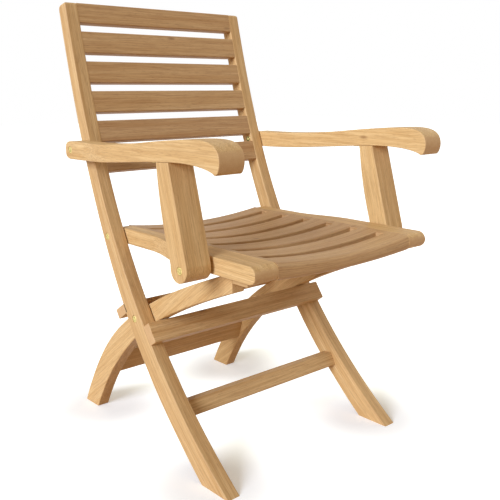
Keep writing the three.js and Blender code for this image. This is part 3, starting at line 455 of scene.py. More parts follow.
def section(low, high, inner, outer, arris, inner_arris=None):
    """Ring of a member between two edges in side view and two upright faces, with rounded corners."""
    across = high - low
    size = across.length
    across.normalize()
    most = min(size, outer - inner) * MOST_ARRIS_SHARE
    near, far = (max(min(radius, most), LEAST_ARRIS) for radius in (inner_arris or arris, arris))
    corners = [
        (outer - far, far, far, -90), (outer - far, size - far, far, 0),
        (inner + near, size - near, near, 90), (inner + near, near, near, 180),
    ]
    ring = []
    for x, s, radius, start in corners:
        for i in range(ARC_STEPS + 1):
            angle = math.radians(start + 90 * i / ARC_STEPS)
            rise = s + radius * math.sin(angle)
            side = x + radius * math.cos(angle)
            ring.append(Vector((side, low.x + across.x * rise, low.y + across.y * rise)))
    return ring


def loft(rings):
    """Closes a run of equal rings into one shell with its faces out."""
    bm = bmesh.new()
    rows = [[bm.verts.new(point) for point in ring] for ring in rings]
    for row, following in zip(rows, rows[1:]):
        for j, vert in enumerate(row):
            k = (j + 1) % len(row)
            bm.faces.new((vert, row[k], following[k], following[j]))
    bm.faces.new(rows[0][::-1])
    bm.faces.new(rows[-1])
    bmesh.ops.recalc_face_normals(bm, faces=bm.faces)
    return bm


# Rings drawn past the end of a bowed member, for the saw to take off.
SPARE_STEPS = 3


def trim(bm, place, outward, ease):
    """Saws a member off at a plane, closes it and eases the sawn edge."""
    parts = bm.verts[:] + bm.edges[:] + bm.faces[:]
    cut = bmesh.ops.bisect_plane(
        bm, geom=parts, dist=1e-7, plane_co=place, plane_no=outward, clear_outer=True)
    edges = [part for part in cut["geom_cut"] if isinstance(part, bmesh.types.BMEdge)]
    bmesh.ops.contextual_create(bm, geom=edges)
    edges = [edge for edge in edges if edge.is_valid]
    bmesh.ops.bevel(bm, geom=edges, offset=ease, segments=2, affect="EDGES", profile=0.5, clamp_overlap=True)
    bmesh.ops.recalc_face_normals(bm, faces=bm.faces)


def reach_at(radius, sides, angle):
    """Distance from the axis of a circle, or of a polygon with this radius at the middle of its sides."""
    if not sides:
        return radius
    step = 2 * math.pi / sides
    return radius / math.cos((angle + step / 2) % step - step / 2)


def turned(profile, start, heading):
    """Turned piece across the chair: (distance, radius, optional sides) from a place, closed on the axis."""
    bm = bmesh.new()
    rows = []
    for along, radius, *sides in profile:
        x = start.x + heading * along
        row = []
        for i in range(TURN_STEPS if radius else 1):
            angle = 2 * math.pi * i / TURN_STEPS
            reach = reach_at(radius, sides[0] if sides else 0, angle)
            y = start.y + reach * math.cos(angle)
            row.append(bm.verts.new((x, y, start.z + reach * math.sin(angle))))
        rows.append(row)
    for row, following in zip(rows, rows[1:]):
        for i in range(TURN_STEPS):
            corners = [row[i % len(row)], row[(i + 1) % len(row)]]
            corners += [following[(i + 1) % len(following)], following[i % len(following)]]
            bm.faces.new(list(dict.fromkeys(corners)))
    bmesh.ops.recalc_face_normals(bm, faces=bm.faces)
    return bm


def new_object(name, bm):
    mesh = bpy.data.meshes.new(name)
    bm.to_mesh(mesh)
    bm.free()
    obj = bpy.data.objects.new(name, mesh)
    bpy.context.scene.collection.objects.link(obj)
    return obj


def plain_mesh(obj):
    """Replaces an object's mesh by its evaluated one and removes its modifiers."""
    bpy.context.view_layer.update()
    evaluated = obj.evaluated_get(bpy.context.evaluated_depsgraph_get())
    mesh = bpy.data.meshes.new_from_object(evaluated)
    obj.modifiers.clear()
    old = obj.data
    obj.data = mesh
    bpy.data.meshes.remove(old)


def cut_away(obj, cutters):
    """Cuts bores and recesses out of an object."""
    if not cutters:
        return
    tools = []
    for i, bm in enumerate(cutters):
        tool = new_object(f"{obj.name}_bore_{i}", bm)
        tools.append(tool)
        modifier = obj.modifiers.new(tool.name, "BOOLEAN")
        modifier.operation = "DIFFERENCE"
        modifier.solver = "EXACT"
        modifier.object = tool
    plain_mesh(obj)
    for tool in tools:
        bpy.data.objects.remove(tool)


def smooth(obj, sharp_degrees=38):
    """Smooth shading that keeps flat faces flat and sawn edges crisp."""
    obj.data.shade_smooth()
    obj.data.set_sharp_from_angle(angle=math.radians(sharp_degrees))
    modifier = obj.modifiers.new("flat faces", "WEIGHTED_NORMAL")
    modifier.keep_sharp = True
    plain_mesh(obj)


# A number for the plank of each kind of board, which gives its place in the grain and its tone.
PLANKS = {
    "stile": 3, "cross_board": 11, "rear_leg": 31, "seat_rail": 41, "seat_stop": 47,
    "seat_slat": 61, "arm": 83, "post": 91,
}
# From one board of a kind to the next.
CROSS_BOARD_STEP = 1.7
SEAT_SLAT_STEP = 3.1
GOLDEN_SHARE = 0.618034
# Cosine of the angle between a face and the grain, from where it begins to show end grain to full.
END_GRAIN_FACING = (0.75, 0.95)


def plank_tone(name, seed):
    """How light a board's plank was, from 0 to 1. On the slats the tone is lowered to paint the shade that
    falls on the seat and the back.
    """
    tone = (seed * GOLDEN_SHARE) % 1
    return 0.3 * tone if "slat" in name else 0.6 + 0.4 * tone


def board_places(obj, origin, along, up, seed, bow=None):
    """Stores where each point lies in the plank it was sawn from, its plank's tone, lowered on the back slats
    to paint shade, and its sawn ends.
    On a bowed member the plank's length follows the bow."""
    along = along.normalized()
    side = along.cross(up).normalized()
    up = side.cross(along)
    shift = Vector((seed * 1.37 % 5, seed * 0.731 % 3, seed * 0.419 % 3))
    mesh = obj.data
    places = mesh.attributes.new("board", "FLOAT_VECTOR", "POINT")
    values = []
    for vert in mesh.vertices:
        if bow:
            place = bow.place(vert.co)
        else:
            place = vert.co - origin
            place = Vector((place.dot(along), place.dot(side), place.dot(up)))
        values.extend(place + shift)
    places.data.foreach_set("vector", values)
    tones = mesh.attributes.new("tone", "FLOAT", "POINT")
    tones.data.foreach_set("value", [plank_tone(obj.name, seed)] * len(mesh.vertices))
    ends = mesh.attributes.new("end_grain", "FLOAT", "FACE")
    turns = [abs(face.normal.dot(along)) for face in mesh.polygons]
    ends.data.foreach_set("value", [soft_step(*END_GRAIN_FACING, turn) for turn in turns])


def install(obj, slot, *nodes):
    """Gives a piece its finish and puts it in the place of the CAD nodes it stands for."""
    obj.data.materials.clear()
    obj.data.materials.append(finish_of(slot))
    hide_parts(*nodes)
    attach(obj, BODY_OF[nodes[0]])


def teak_board(node, bm, along, up, bores=(), seed=0, bow=None):
    """One finished board in the place of a CAD node."""
    obj = new_object("teak_" + node, bm)
    cut_away(obj, bores)
    smooth(obj)
    low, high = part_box(node)
    board_places(obj, (low + high) / 2, along, up, seed, bow)
    install(obj, "teak", node)


def mirrored(bm, side):
    """The same shape on the chair's left."""
    if side < 0:
        bmesh.ops.scale(bm, vec=(-1, 1, 1), verts=bm.verts)
        bmesh.ops.reverse_faces(bm, faces=bm.faces)
    return bm


# Bores. The numbers are the sizes of the fittings in the frame.

HEAD_RADIUS = 7.1 * MM
HEAD_THICKNESS = 3.2 * MM
HEAD_SINK = 0.5 * MM
RIM_ROUND = 0.9 * MM
SOCKET_WIDTH = 6 * MM
SOCKET_DEPTH = 2.2 * MM
SOCKET_MOUTH = 0.25 * MM
SHANK_RADIUS = 4 * MM
SLEEVE_RADIUS = 5.8 * MM
SLEEVE_LENGTH = 17.3 * MM
INSERT_RADIUS = 6.2 * MM
INSERT_LENGTH = 13 * MM
LEAF_WIDTH = 19 * MM
LEAF_THICKNESS = 1.6 * MM
KNUCKLE_RADIUS = 3.4 * MM
KNUCKLE_GAP = 0.35 * MM
HINGE_INSET = 0.3 * MM
FIT = 0.3 * MM
SHOULDER_GAP = 0.2 * MM
BORE_MOUTH = 0.5 * MM
OVERRUN = 20 * MM
THROUGH = 90 * MM

# Forms that the boxes of the frame don't give.
RAIL_FLARE = (262 * MM, 128 * MM)
ARM_LENGTH = 526 * MM
ARM_SPAN = 64.6 * MM
ARM_BELOW_PIVOT = 18.7 * MM
ARM_REAR_WIDTH = 39 * MM
ARM_FLARE = (42.5 * MM, 172.5 * MM)
POST_HEAD_DEPTH = 35.5 * MM
POST_FOOT_ROUND = 23.6 * MM
POST_FOOT_BEHIND = 2.7 * MM
POST_FOOT_ABOVE = 1.1 * MM
POST_BOW = 5 * MM
POST_SHOULDER_SHARE = 0.25
# The stretch of the arm's underside, from its rear end, in which the post's head lies.
ARM_UNDER_MIDDLE = (0.2, 0.7)


def head_bore(pivot, face, heading, sleeve=0):
    """Counterbore with a softened mouth, the bore for a cap nut's sleeve, and the bolt's hole."""
    seat = HEAD_SINK + HEAD_THICKNESS
    radius = HEAD_RADIUS + FIT
    profile = [
        (-OVERRUN, 0), (-OVERRUN, radius + BORE_MOUTH + OVERRUN), (0, radius + BORE_MOUTH),
        (BORE_MOUTH, radius), (seat, radius),
    ]
    if sleeve:
        profile += [(seat, SLEEVE_RADIUS + FIT), (seat + sleeve, SLEEVE_RADIUS + FIT)]
    profile += [(seat + sleeve, SHANK_RADIUS + FIT), (THROUGH, SHANK_RADIUS + FIT), (THROUGH, 0)]
    return turned(profile, Vector((face, pivot.y, pivot.z)), -heading)


def insert_bore(pivot, face, heading):
    """Blind bore for a threaded sleeve."""
    radius = INSERT_RADIUS + FIT
    depth = INSERT_LENGTH + FIT
    return turned(
        [(-OVERRUN, 0), (-OVERRUN, radius), (depth, radius), (depth, 0)],
        Vector((face, pivot.y, pivot.z)), -heading)


def side_direction(bow, start, end):
    """The plank's length in the frame, from one place on a bow to another."""
    chord = bow.point(end) - bow.point(start)
    return Vector((0, chord.x, chord.y))


# Operators

class ARMCHAIR_OT_stiles(bpy.types.Operator):
    """Two bowed stiles, each one piece from the front foot to the head of the back"""

    bl_idname = "armchair.stiles"
    bl_label = "Stiles"

    def execute(self, context):
        sizes = context.scene.armchair_sizes
        for name, side in SIDES.items():
            bm = mirrored(self.shape(sizes), side)
            trim(bm, (0, 0, 0), (0, 0, -1), sizes.end_ease)
            low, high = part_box("stile_" + name)
            outer, inner = (high.x, low.x) if side > 0 else (low.x, high.x)
            bores = [head_bore(PIVOTS[pivot], outer, side) for pivot in ("seat_fold", "rear_legs_fold")]
            bores.append(head_bore(PIVOTS["arm_right_fold"], inner, -side, SLEEVE_LENGTH))
            plank = side_direction(STILE, 0.1, 1)
            teak_board("stile_" + name, bm, plank, Vector((1, 0, 0)), bores, PLANKS["stile"] + side, STILE)
        return {"FINISHED"}

    def shape(self, sizes):
        low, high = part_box("stile_right")
        span = STILE.span()
        stations = [i / MEMBER_STEPS for i in range(-SPARE_STEPS, MEMBER_STEPS)]
        stations = [t for t in stations if (1 - t) * span > sizes.head_round]
        stations += [1 - distance / span for distance in round_steps(sizes.head_round)]
        rings = []
        for t in stations:
            distance = (1 - t) * span
            ease = round_inset(sizes.head_ease, distance)
            half = STILE.depth(t) / 2
            front = STILE.edge(t, half - ease)
            rear = STILE.edge(t, round_inset(sizes.head_round, distance) - half)
            rings.append(section(front, rear, low.x + ease, high.x - ease, sizes.member_arris))
        return loft(rings)


def eased_stations(reach, ease):
    """(place, inset) pairs of a board whose sawn ends are eased, from end to end."""
    if not ease:
        return [(-reach, 0), (reach, 0)]
    half = [(reach - distance, round_inset(ease, distance)) for distance in round_steps(ease)[:-1]]
    half.append((reach, ease))
    return [(-place, inset) for place, inset in half[::-1]] + half


def straight_board(reach, depth, height, middle, lean, arris, end_ease=0, rear_rise=0):
    """Board across the chair. Its section leans back, its ends are eased where they show, and its
    upper edge may be ripped on a slant that rises to the rear."""
    up = Vector((math.sin(lean), math.cos(lean)))
    back = Vector((math.cos(lean), -math.sin(lean)))
    rings = []
    for x, inset in eased_stations(reach, end_ease):
        ring = []
        for place in section(
                Vector((0, inset - height / 2)), Vector((0, height / 2 - inset)),
                inset - depth / 2, depth / 2 - inset, arris):
            slant = max(place.z, 0) / height * 2 * rear_rise * (place.x / depth + 0.5)
            side = middle + back * place.x + up * (place.z + slant)
            ring.append(Vector((x, side.x, side.y)))
        rings.append(ring)
    return loft(rings)


def lean_at(level):
    """How far the stile leans back from upright at a height."""
    tangent = STILE.tangent(STILE.at_level(level))
    return math.atan2(tangent.x, tangent.y)


# Depth of the boards, front to back, and the lean of those that don't lean with the stiles.
BACK_SLATS = 6
BACK_SLAT_DEPTH = 20 * MM
CROSSBAR_DEPTHS = {"crossbar_front": 22 * MM, "crossbar_rear": 40 * MM}
STRETCHER_DEPTH = 20 * MM
STRETCHER_LEAN = math.radians(31)
LEG_BAR_DEPTH = 20 * MM
LEG_BAR_LEAN = math.radians(-16)
# The bar of the rear legs leans less than its solid, is taller, and its middle stands this far away.
LEG_BAR_SHIFT = Vector((0, 0.4 * MM, 5.5 * MM))
# A tenoned board's end reaches this far into its neighbour, so that no gap shows at the shoulder.
LET_IN = MM


class ARMCHAIR_OT_cross_boards(bpy.types.Operator):
    """Slats of the back, the two crossbars, the low stretcher and the bar of the rear legs"""

    bl_idname = "armchair.cross_boards"
    bl_label = "Slats and bars"

    def execute(self, context):
        sizes = context.scene.armchair_sizes
        stile_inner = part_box("stile_right")[0].x
        stile_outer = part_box("stile_right")[1].x
        leg_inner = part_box("rear_leg_right")[0].x
        # Each board's depth, its reach to either side, and its lean where it doesn't lean with the stile.
        boards = {
            f"back_slat_{i + 1}": (BACK_SLAT_DEPTH, stile_inner + LET_IN, None) for i in range(BACK_SLATS)}
        for node, depth in CROSSBAR_DEPTHS.items():
            boards[node] = (depth, stile_outer, None)
        boards["stretcher_front"] = (STRETCHER_DEPTH, stile_inner + LET_IN, STRETCHER_LEAN)
        boards["rear_leg_bar"] = (LEG_BAR_DEPTH, leg_inner + LET_IN, LEG_BAR_LEAN)
        for i, (node, (depth, reach, lean)) in enumerate(boards.items()):
            low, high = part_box(node)
            middle = (low + high) / 2
            if lean is None:
                lean = lean_at(middle.z)
            height = (high.z - low.z - depth * abs(math.sin(lean))) / math.cos(lean)
            if node == "rear_leg_bar":
                middle += LEG_BAR_SHIFT
                height = sizes.leg_bar_height
            ends_show = reach == stile_outer
            bm = straight_board(
                reach, depth, height, Vector((middle.y, middle.z)), lean,
                sizes.bar_arris if ends_show else sizes.slat_arris, sizes.end_ease if ends_show else 0,
                sizes.stretcher_slant if node == "stretcher_front" else 0)
            seed = PLANKS["cross_board"] + i * CROSS_BOARD_STEP
            teak_board(node, bm, Vector((1, 0, 0)), Vector((0, 0, 1)), seed=seed)
        return {"FINISHED"}


class ARMCHAIR_OT_rear_legs(bpy.types.Operator):
    """Two bowed rear legs whose heads close under the seat rails"""

    bl_idname = "armchair.rear_legs"
    bl_label = "Rear legs"

    def execute(self, context):
        sizes = context.scene.armchair_sizes
        for name, side in SIDES.items():
            low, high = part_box("rear_leg_" + name)
            outer, inner = (high.x, low.x) if side > 0 else (low.x, high.x)
            bm = mirrored(self.shape(sizes, abs(inner), abs(outer)), side)
            trim(bm, (0, 0, 0), (0, 0, -1), sizes.end_ease)
            trim(bm, (0, low.y, 0), (0, -1, 0), sizes.end_ease)
            trim(bm, (0, 0, high.z), (0, 0, 1), sizes.end_ease)
            bores = [insert_bore(PIVOTS["rear_legs_fold"], outer, side)]
            plank = side_direction(LEG, 0, 1)
            teak_board("rear_leg_" + name, bm, plank, Vector((1, 0, 0)), bores, PLANKS["rear_leg"] + side)
        return {"FINISHED"}

    def shape(self, sizes, inner, outer):
        rings = []
        for i in range(-SPARE_STEPS, MEMBER_STEPS + SPARE_STEPS):
            t = i / MEMBER_STEPS
            half = LEG.depth(t) / 2
            rings.append(section(LEG.edge(t, half), LEG.edge(t, -half), inner, outer, sizes.member_arris))
        return loft(rings)


def half_round(radius, steps=9):
    """(distance from the end, half depth) pairs of a half-round end, from near its tip inwards."""
    angles = [math.pi / 2 * (i + 1) / (steps + 1) for i in range(steps + 1)]
    return [(radius * (1 - math.cos(angle)), radius * math.sin(angle)) for angle in angles]


class ARMCHAIR_OT_seat_rails(bpy.types.Operator):
    """Seat rails with half-round ends and a face flared in front of the stiles, and their stop blocks"""

    bl_idname = "armchair.seat_rails"
    bl_label = "Seat rails"

    def execute(self, context):
        sizes = context.scene.armchair_sizes
        for name, side in SIDES.items():
            low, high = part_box("seat_rail_" + name)
            outer, inner = (high.x, low.x) if side > 0 else (low.x, high.x)
            rear_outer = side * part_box("rear_leg_right")[1].x
            bm = mirrored(self.shape(sizes, low, high, abs(inner), abs(outer), abs(rear_outer)), side)
            bores = [
                insert_bore(PIVOTS["seat_fold"], rear_outer, side),
                insert_bore(PIVOTS["post_right_fold"], outer, side),
            ]
            seed = PLANKS["seat_rail"] + side
            teak_board("seat_rail_" + name, bm, Vector((0, 1, 0)), Vector((0, 0, 1)), bores, seed)
            low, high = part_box("seat_stop_" + name)
            middle, half = (low + high) / 2, (high - low) / 2
            ease = sizes.end_ease
            rings = []
            for y, inset in eased_stations(half.y, ease):
                rings.append(section(
                    Vector((middle.y + y, low.z + inset)), Vector((middle.y + y, high.z - inset)),
                    low.x + inset, high.x - inset, ease))
            seed = PLANKS["seat_stop"] + side
            teak_board("seat_stop_" + name, loft(rings), Vector((0, 1, 0)), Vector((0, 0, 1)), seed=seed)
        return {"FINISHED"}

    def shape(self, sizes, low, high, inner, outer, rear_outer):
        radius = (high.z - low.z) / 2
        middle = (high.z + low.z) / 2
        flare_start, flare_end = TOE + RAIL_FLARE[0], TOE + RAIL_FLARE[1]
        stations = [(high.y - distance, half) for distance, half in half_round(radius)]
        for i in range(MEMBER_STEPS + 1):
            stations.append((flare_start + (flare_end - flare_start) * i / MEMBER_STEPS, radius))
        stations += [(low.y + distance, half) for distance, half in half_round(radius)[::-1]]
        rings = []
        for y, half in stations:
            side = rear_outer + (outer - rear_outer) * soft_step(flare_start, flare_end, y)
            rings.append(section(
                Vector((y, middle - half)), Vector((y, middle + half)), inner, side,
                sizes.member_arris, sizes.joint_arris))
        return loft(rings)


# Seat slats

SLAT_STATIONS = 721

SLAT_INPUTS = {
    "Front": "NodeSocketFloat", "Rear": "NodeSocketFloat", "Top": "NodeSocketFloat",
    "Thickness": "NodeSocketFloat", "Half length": "NodeSocketFloat", "Sag": "NodeSocketFloat",
    "Under sag": "NodeSocketFloat", "Slot end": "NodeSocketFloat", "Slot half width": "NodeSocketFloat",
    "Slot corner": "NodeSocketFloat", "Front slot": "NodeSocketFloat", "Rear slot": "NodeSocketFloat",
    "Arris": "NodeSocketFloat", "Nose": "NodeSocketFloat", "Under nose": "NodeSocketFloat",
    "Stations": "NodeSocketInt", "Plank": "NodeSocketVector", "Tone": "NodeSocketFloat",
    "Material": "NodeSocketMaterial",
}


def new_tree(name, inputs):
    """An empty geometry node tree with named inputs, and its input node."""
    tree = bpy.data.node_groups.new(name, "GeometryNodeTree")
    tree.interface.new_socket("Geometry", in_out="OUTPUT", socket_type="NodeSocketGeometry")
    for socket, kind in inputs.items():
        tree.interface.new_socket(socket, in_out="INPUT", socket_type=kind)
    return tree, add(tree, "NodeGroupInput").outputs


def close_tree(tree, geometry, material):
    """Ends a tree: realized instances in one material."""
    real = add(tree, "GeometryNodeRealizeInstances", {"Geometry": geometry}).outputs[0]
    clad = add(tree, "GeometryNodeSetMaterial", {"Geometry": real, "Material": material}).outputs[0]
    add(tree, "NodeGroupOutput", {"Geometry": clad})


def slat_profile(tree, given):
    """Section of a slat, rounded by the arris and, at the front, by the nose. X is -Y there, and Y is -Z."""
    front = add(tree, "ShaderNodeMath", {0: given["Front"], 1: -1}, operation="MULTIPLY").outputs[0]
    rear = add(tree, "ShaderNodeMath", {0: given["Rear"], 1: -1}, operation="MULTIPLY").outputs[0]
    top = add(tree, "ShaderNodeMath", {0: given["Top"], 1: -1}, operation="MULTIPLY").outputs[0]
    low = add(tree, "ShaderNodeMath", {0: top, 1: given["Thickness"]}).outputs[0]
    corners = {}
    for i, (across, rise) in enumerate(((front, low), (rear, low), (rear, top), (front, top))):
        corners[f"Point {i + 1}"] = add(tree, "ShaderNodeCombineXYZ", {"X": across, "Y": rise}).outputs[0]
    outline = add(tree, "GeometryNodeCurvePrimitiveQuadrilateral", corners, mode="POINTS").outputs[0]
    index = add(tree, "GeometryNodeInputIndex").outputs[0]
    is_top = add(tree, "ShaderNodeMath", {0: index, 1: 3, 2: 0.5}, operation="COMPARE").outputs[0]
    is_low = add(tree, "ShaderNodeMath", {0: index, 1: 0, 2: 0.5}, operation="COMPARE").outputs[0]
    upper = add(tree, "GeometryNodeSwitch", {
        "Switch": is_top, "False": given["Arris"], "True": given["Nose"],
    }, input_type="FLOAT").outputs[0]
    radius = add(tree, "GeometryNodeSwitch", {
        "Switch": is_low, "False": upper, "True": given["Under nose"],
    }, input_type="FLOAT").outputs[0]
    return add(tree, "GeometryNodeFilletCurve", {
        "Curve": outline, "Count": ARC_STEPS + 1, "Radius": radius, "Limit Radius": True,
    }, mode="POLY").outputs[0]


def seat_slat_tree():
    """A slat swept across the chair: sagging to the middle, its edges cut back along the slots."""
    tree, given = new_tree("seat_slat", SLAT_INPUTS)
    left = add(tree, "ShaderNodeMath", {0: given["Half length"], 1: -1}, operation="MULTIPLY").outputs[0]
    start = add(tree, "ShaderNodeCombineXYZ", {"X": left}).outputs[0]
    end = add(tree, "ShaderNodeCombineXYZ", {"X": given["Half length"]}).outputs[0]
    line = add(tree, "GeometryNodeCurvePrimitiveLine", {"Start": start, "End": end}).outputs[0]
    path = add(tree, "GeometryNodeResampleCurve", {"Curve": line, "Count": given["Stations"]}).outputs[0]
    upright = add(tree, "GeometryNodeSetCurveNormal", {"Curve": path}, mode="Z_UP").outputs[0]
    swept = add(tree, "GeometryNodeCurveToMesh", {
        "Curve": upright, "Profile Curve": slat_profile(tree, given), "Fill Caps": True,
    }).outputs[0]

    # Where each point lay in its plank, before the slat is shaped.
    place = add(tree, "GeometryNodeInputPosition").outputs[0]
    in_plank = add(tree, "ShaderNodeVectorMath", {0: place, 1: given["Plank"]}, operation="ADD").outputs[0]
    planked = add(tree, "GeometryNodeStoreNamedAttribute", {
        "Geometry": swept, "Name": "board", "Value": in_plank,
    }, data_type="FLOAT_VECTOR").outputs[0]
    toned = add(tree, "GeometryNodeStoreNamedAttribute", {
        "Geometry": planked, "Name": "tone", "Value": given["Tone"],
    }, data_type="FLOAT").outputs[0]
    x, y, z = add(tree, "ShaderNodeSeparateXYZ", {0: place}).outputs

    # Sag: deepest in the middle, none at the rails, and its own depth at the underside.
    low = add(tree, "ShaderNodeMath", {
        0: given["Top"], 1: given["Thickness"],
    }, operation="SUBTRACT").outputs[0]
    depth = add(tree, "ShaderNodeMapRange", {
        "Value": z, "From Min": low, "From Max": given["Top"],
        "To Min": given["Under sag"], "To Max": given["Sag"],
    }).outputs[0]
    share = add(tree, "ShaderNodeMath", {0: x, 1: given["Half length"]}, operation="DIVIDE").outputs[0]
    fall = add(tree, "ShaderNodeMath", {0: share, 1: share, 2: -1}, operation="MULTIPLY_ADD").outputs[0]
    sagged = add(tree, "ShaderNodeMath", {0: fall, 1: depth}, operation="MULTIPLY").outputs[0]

    # How far a slot cuts into the edge: half its width, less what the corners at its square ends leave.
    out = add(tree, "ShaderNodeMath", {0: x}, operation="ABSOLUTE").outputs[0]
    inside = add(tree, "ShaderNodeMath", {0: given["Slot end"], 1: out}, operation="SUBTRACT").outputs[0]
    rest = add(tree, "ShaderNodeMapRange", {
        "Value": inside, "From Min": 0, "From Max": given["Slot corner"],
        "To Min": given["Slot corner"], "To Max": 0,
    }).outputs[0]
    radius = given["Slot corner"]
    whole = add(tree, "ShaderNodeMath", {0: radius, 1: radius}, operation="MULTIPLY").outputs[0]
    part = add(tree, "ShaderNodeMath", {0: rest, 1: rest}, operation="MULTIPLY").outputs[0]
    kept = add(tree, "ShaderNodeMath", {0: whole, 1: part}, operation="SUBTRACT").outputs[0]
    arc = add(tree, "ShaderNodeMath", {0: kept, 1: 0.5}, operation="POWER").outputs[0]
    flat = add(tree, "ShaderNodeMath", {
        0: given["Slot half width"], 1: radius}, operation="SUBTRACT").outputs[0]
    cut = add(tree, "ShaderNodeMath", {0: flat, 1: arc}, operation="ADD").outputs[0]
    in_slot = add(tree, "ShaderNodeMath", {0: inside, 1: 0}, operation="GREATER_THAN").outputs[0]
    both = add(tree, "ShaderNodeMath", {0: given["Front"], 1: given["Rear"]}, operation="ADD").outputs[0]
    middle = add(tree, "ShaderNodeMath", {0: both, 1: 0.5}, operation="MULTIPLY").outputs[0]
    behind = add(tree, "ShaderNodeMath", {0: y, 1: middle}, operation="GREATER_THAN").outputs[0]
    way = add(tree, "GeometryNodeSwitch", {
        "Switch": behind, "False": given["Front slot"], "True": given["Rear slot"],
    }, input_type="FLOAT").outputs[0]
    one_way = add(tree, "ShaderNodeMath", {0: cut, 1: way}, operation="MULTIPLY").outputs[0]
    move = add(tree, "ShaderNodeMath", {0: one_way, 1: in_slot}, operation="MULTIPLY").outputs[0]

    # Past the slots' ends the slats meet flush: what the arris took off their top is put back.
    above = add(tree, "ShaderNodeMath", {0: given["Top"], 1: z}, operation="SUBTRACT").outputs[0]
    near_top = add(tree, "ShaderNodeMath", {0: given["Arris"], 1: above}, operation="GREATER_THAN").outputs[0]
    at_end = add(tree, "ShaderNodeMath", {0: 1, 1: in_slot}, operation="SUBTRACT").outputs[0]
    meets = add(tree, "ShaderNodeMath", {0: way}, operation="ABSOLUTE").outputs[0]
    where = add(tree, "ShaderNodeMath", {0: near_top, 1: at_end}, operation="MULTIPLY").outputs[0]
    filled = add(tree, "ShaderNodeMath", {0: where, 1: meets}, operation="MULTIPLY").outputs[0]
    lift = add(tree, "ShaderNodeMath", {0: filled, 1: above, 2: sagged}, operation="MULTIPLY_ADD").outputs[0]
    offset = add(tree, "ShaderNodeCombineXYZ", {"Y": move, "Z": lift}).outputs[0]
    shaped = add(tree, "GeometryNodeSetPosition", {"Geometry": toned, "Offset": offset}).outputs[0]
    close_tree(tree, shaped, given["Material"])
    return tree


def grow(name, tree, values, mesh=None):
    """A plain mesh object made by a geometry node tree from named values."""
    obj = bpy.data.objects.new(name, mesh or bpy.data.meshes.new(name))
    bpy.context.scene.collection.objects.link(obj)
    modifier = obj.modifiers.new(tree.name, "NODES")
    modifier.node_group = tree
    for item in tree.interface.items_tree:
        if item.item_type == "SOCKET" and item.in_out == "INPUT" and item.name in values:
            modifier[item.identifier] = values[item.name]
    obj.update_tag()
    plain_mesh(obj)
    if not obj.data.polygons:
        raise RuntimeError(f"{name}: its node tree made no faces")
    bm = bmesh.new()
    bm.from_mesh(obj.data)
    bmesh.ops.recalc_face_normals(bm, faces=bm.faces)
    bm.to_mesh(obj.data)
    bm.free()
    return obj


class ARMCHAIR_OT_seat_slats(bpy.types.Operator):
    """Seven dished seat slats, grown by one node tree"""

    bl_idname = "armchair.seat_slats"
    bl_label = "Seat slats"

    def execute(self, context):
        sizes = context.scene.armchair_sizes
        tree = seat_slat_tree()
        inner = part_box("rear_leg_right")[0].x
        rail_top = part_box("seat_rail_right")[1].z
        slats = sorted(node for node in frame["nodes"] if node.startswith("seat_slat_"))
        for i, node in enumerate(slats):
            low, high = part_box(node)
            first, last = node == slats[0], node == slats[-1]
            seed = PLANKS["seat_slat"] + i * SEAT_SLAT_STEP
            obj = grow("teak_" + node, tree, {
                "Front": low.y + (sizes.nose_setback if first else 0), "Rear": high.y,
                "Top": rail_top, "Half length": inner,
                "Thickness": sizes.nose_thickness if first else sizes.seat_thickness,
                "Sag": sizes.dish, "Under sag": sizes.nose_dish if first else sizes.dish,
                "Slot end": inner - sizes.slot_margin, "Slot half width": sizes.slot_width / 2,
                "Slot corner": sizes.slot_corner,
                # Which way a slot cuts an edge back, or 0 where there is no slot.
                "Front slot": 0.0 if first else 1.0, "Rear slot": 0.0 if last else -1.0,
                "Arris": sizes.slat_arris, "Nose": sizes.nose_round if first else sizes.slat_arris,
                "Under nose": sizes.nose_under_round if first else sizes.slat_arris,
                "Stations": SLAT_STATIONS, "Material": finish_of("teak"),
                # The lowered tone of the slats paints the shade on the seat.
                "Plank": (seed % 5, seed * 0.31 % 3, seed * 0.17 % 3), "Tone": plank_tone(node, seed),
            })
            smooth(obj)
            install(obj, "teak", node)
        return {"FINISHED"}


# Arms and posts

def arm_edge(shares):
    """An edge of the arm in side view, from its rear end to its nose."""
    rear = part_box("arm_right")[1].y
    low = PIVOTS["arm_right_fold"].z - ARM_BELOW_PIVOT
    return [Vector((rear - ARM_LENGTH * along, low + ARM_SPAN * rise)) for along, rise in shares]


def arm_under_at(y):
    """Height of the arm's underside at a place in front of its bolt."""
    edge = arm_edge(ARM_UNDER_SHARES)
    low, high = ARM_UNDER_MIDDLE
    for _ in range(HALVINGS):
        middle = (low + high) / 2
        if spline(edge, middle).x > y:
            low = middle
        else:
            high = middle
    return spline(edge, low).y


def hinge_place():
    """Axis of the butt hinge between arm and post, in side view."""
    low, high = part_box("hinge_pin_right")
    middle = (low + high) / 2
    return Vector((middle.y, middle.z))


def slab(x0, x1, middle, lean, depth, height):
    """Square-edged cutter in side view."""
    up = Vector((math.sin(lean), math.cos(lean)))
    back = Vector((math.cos(lean), -math.sin(lean)))
    rings = []
    for x in (x0, x1):
        ring = []
        for along, rise in ((-1, -1), (1, -1), (1, 1), (-1, 1)):
            place = middle + back * (along * depth / 2) + up * (rise * height / 2)
            ring.append(Vector((x, place.x, place.y)))
        rings.append(ring)
    return loft(rings)


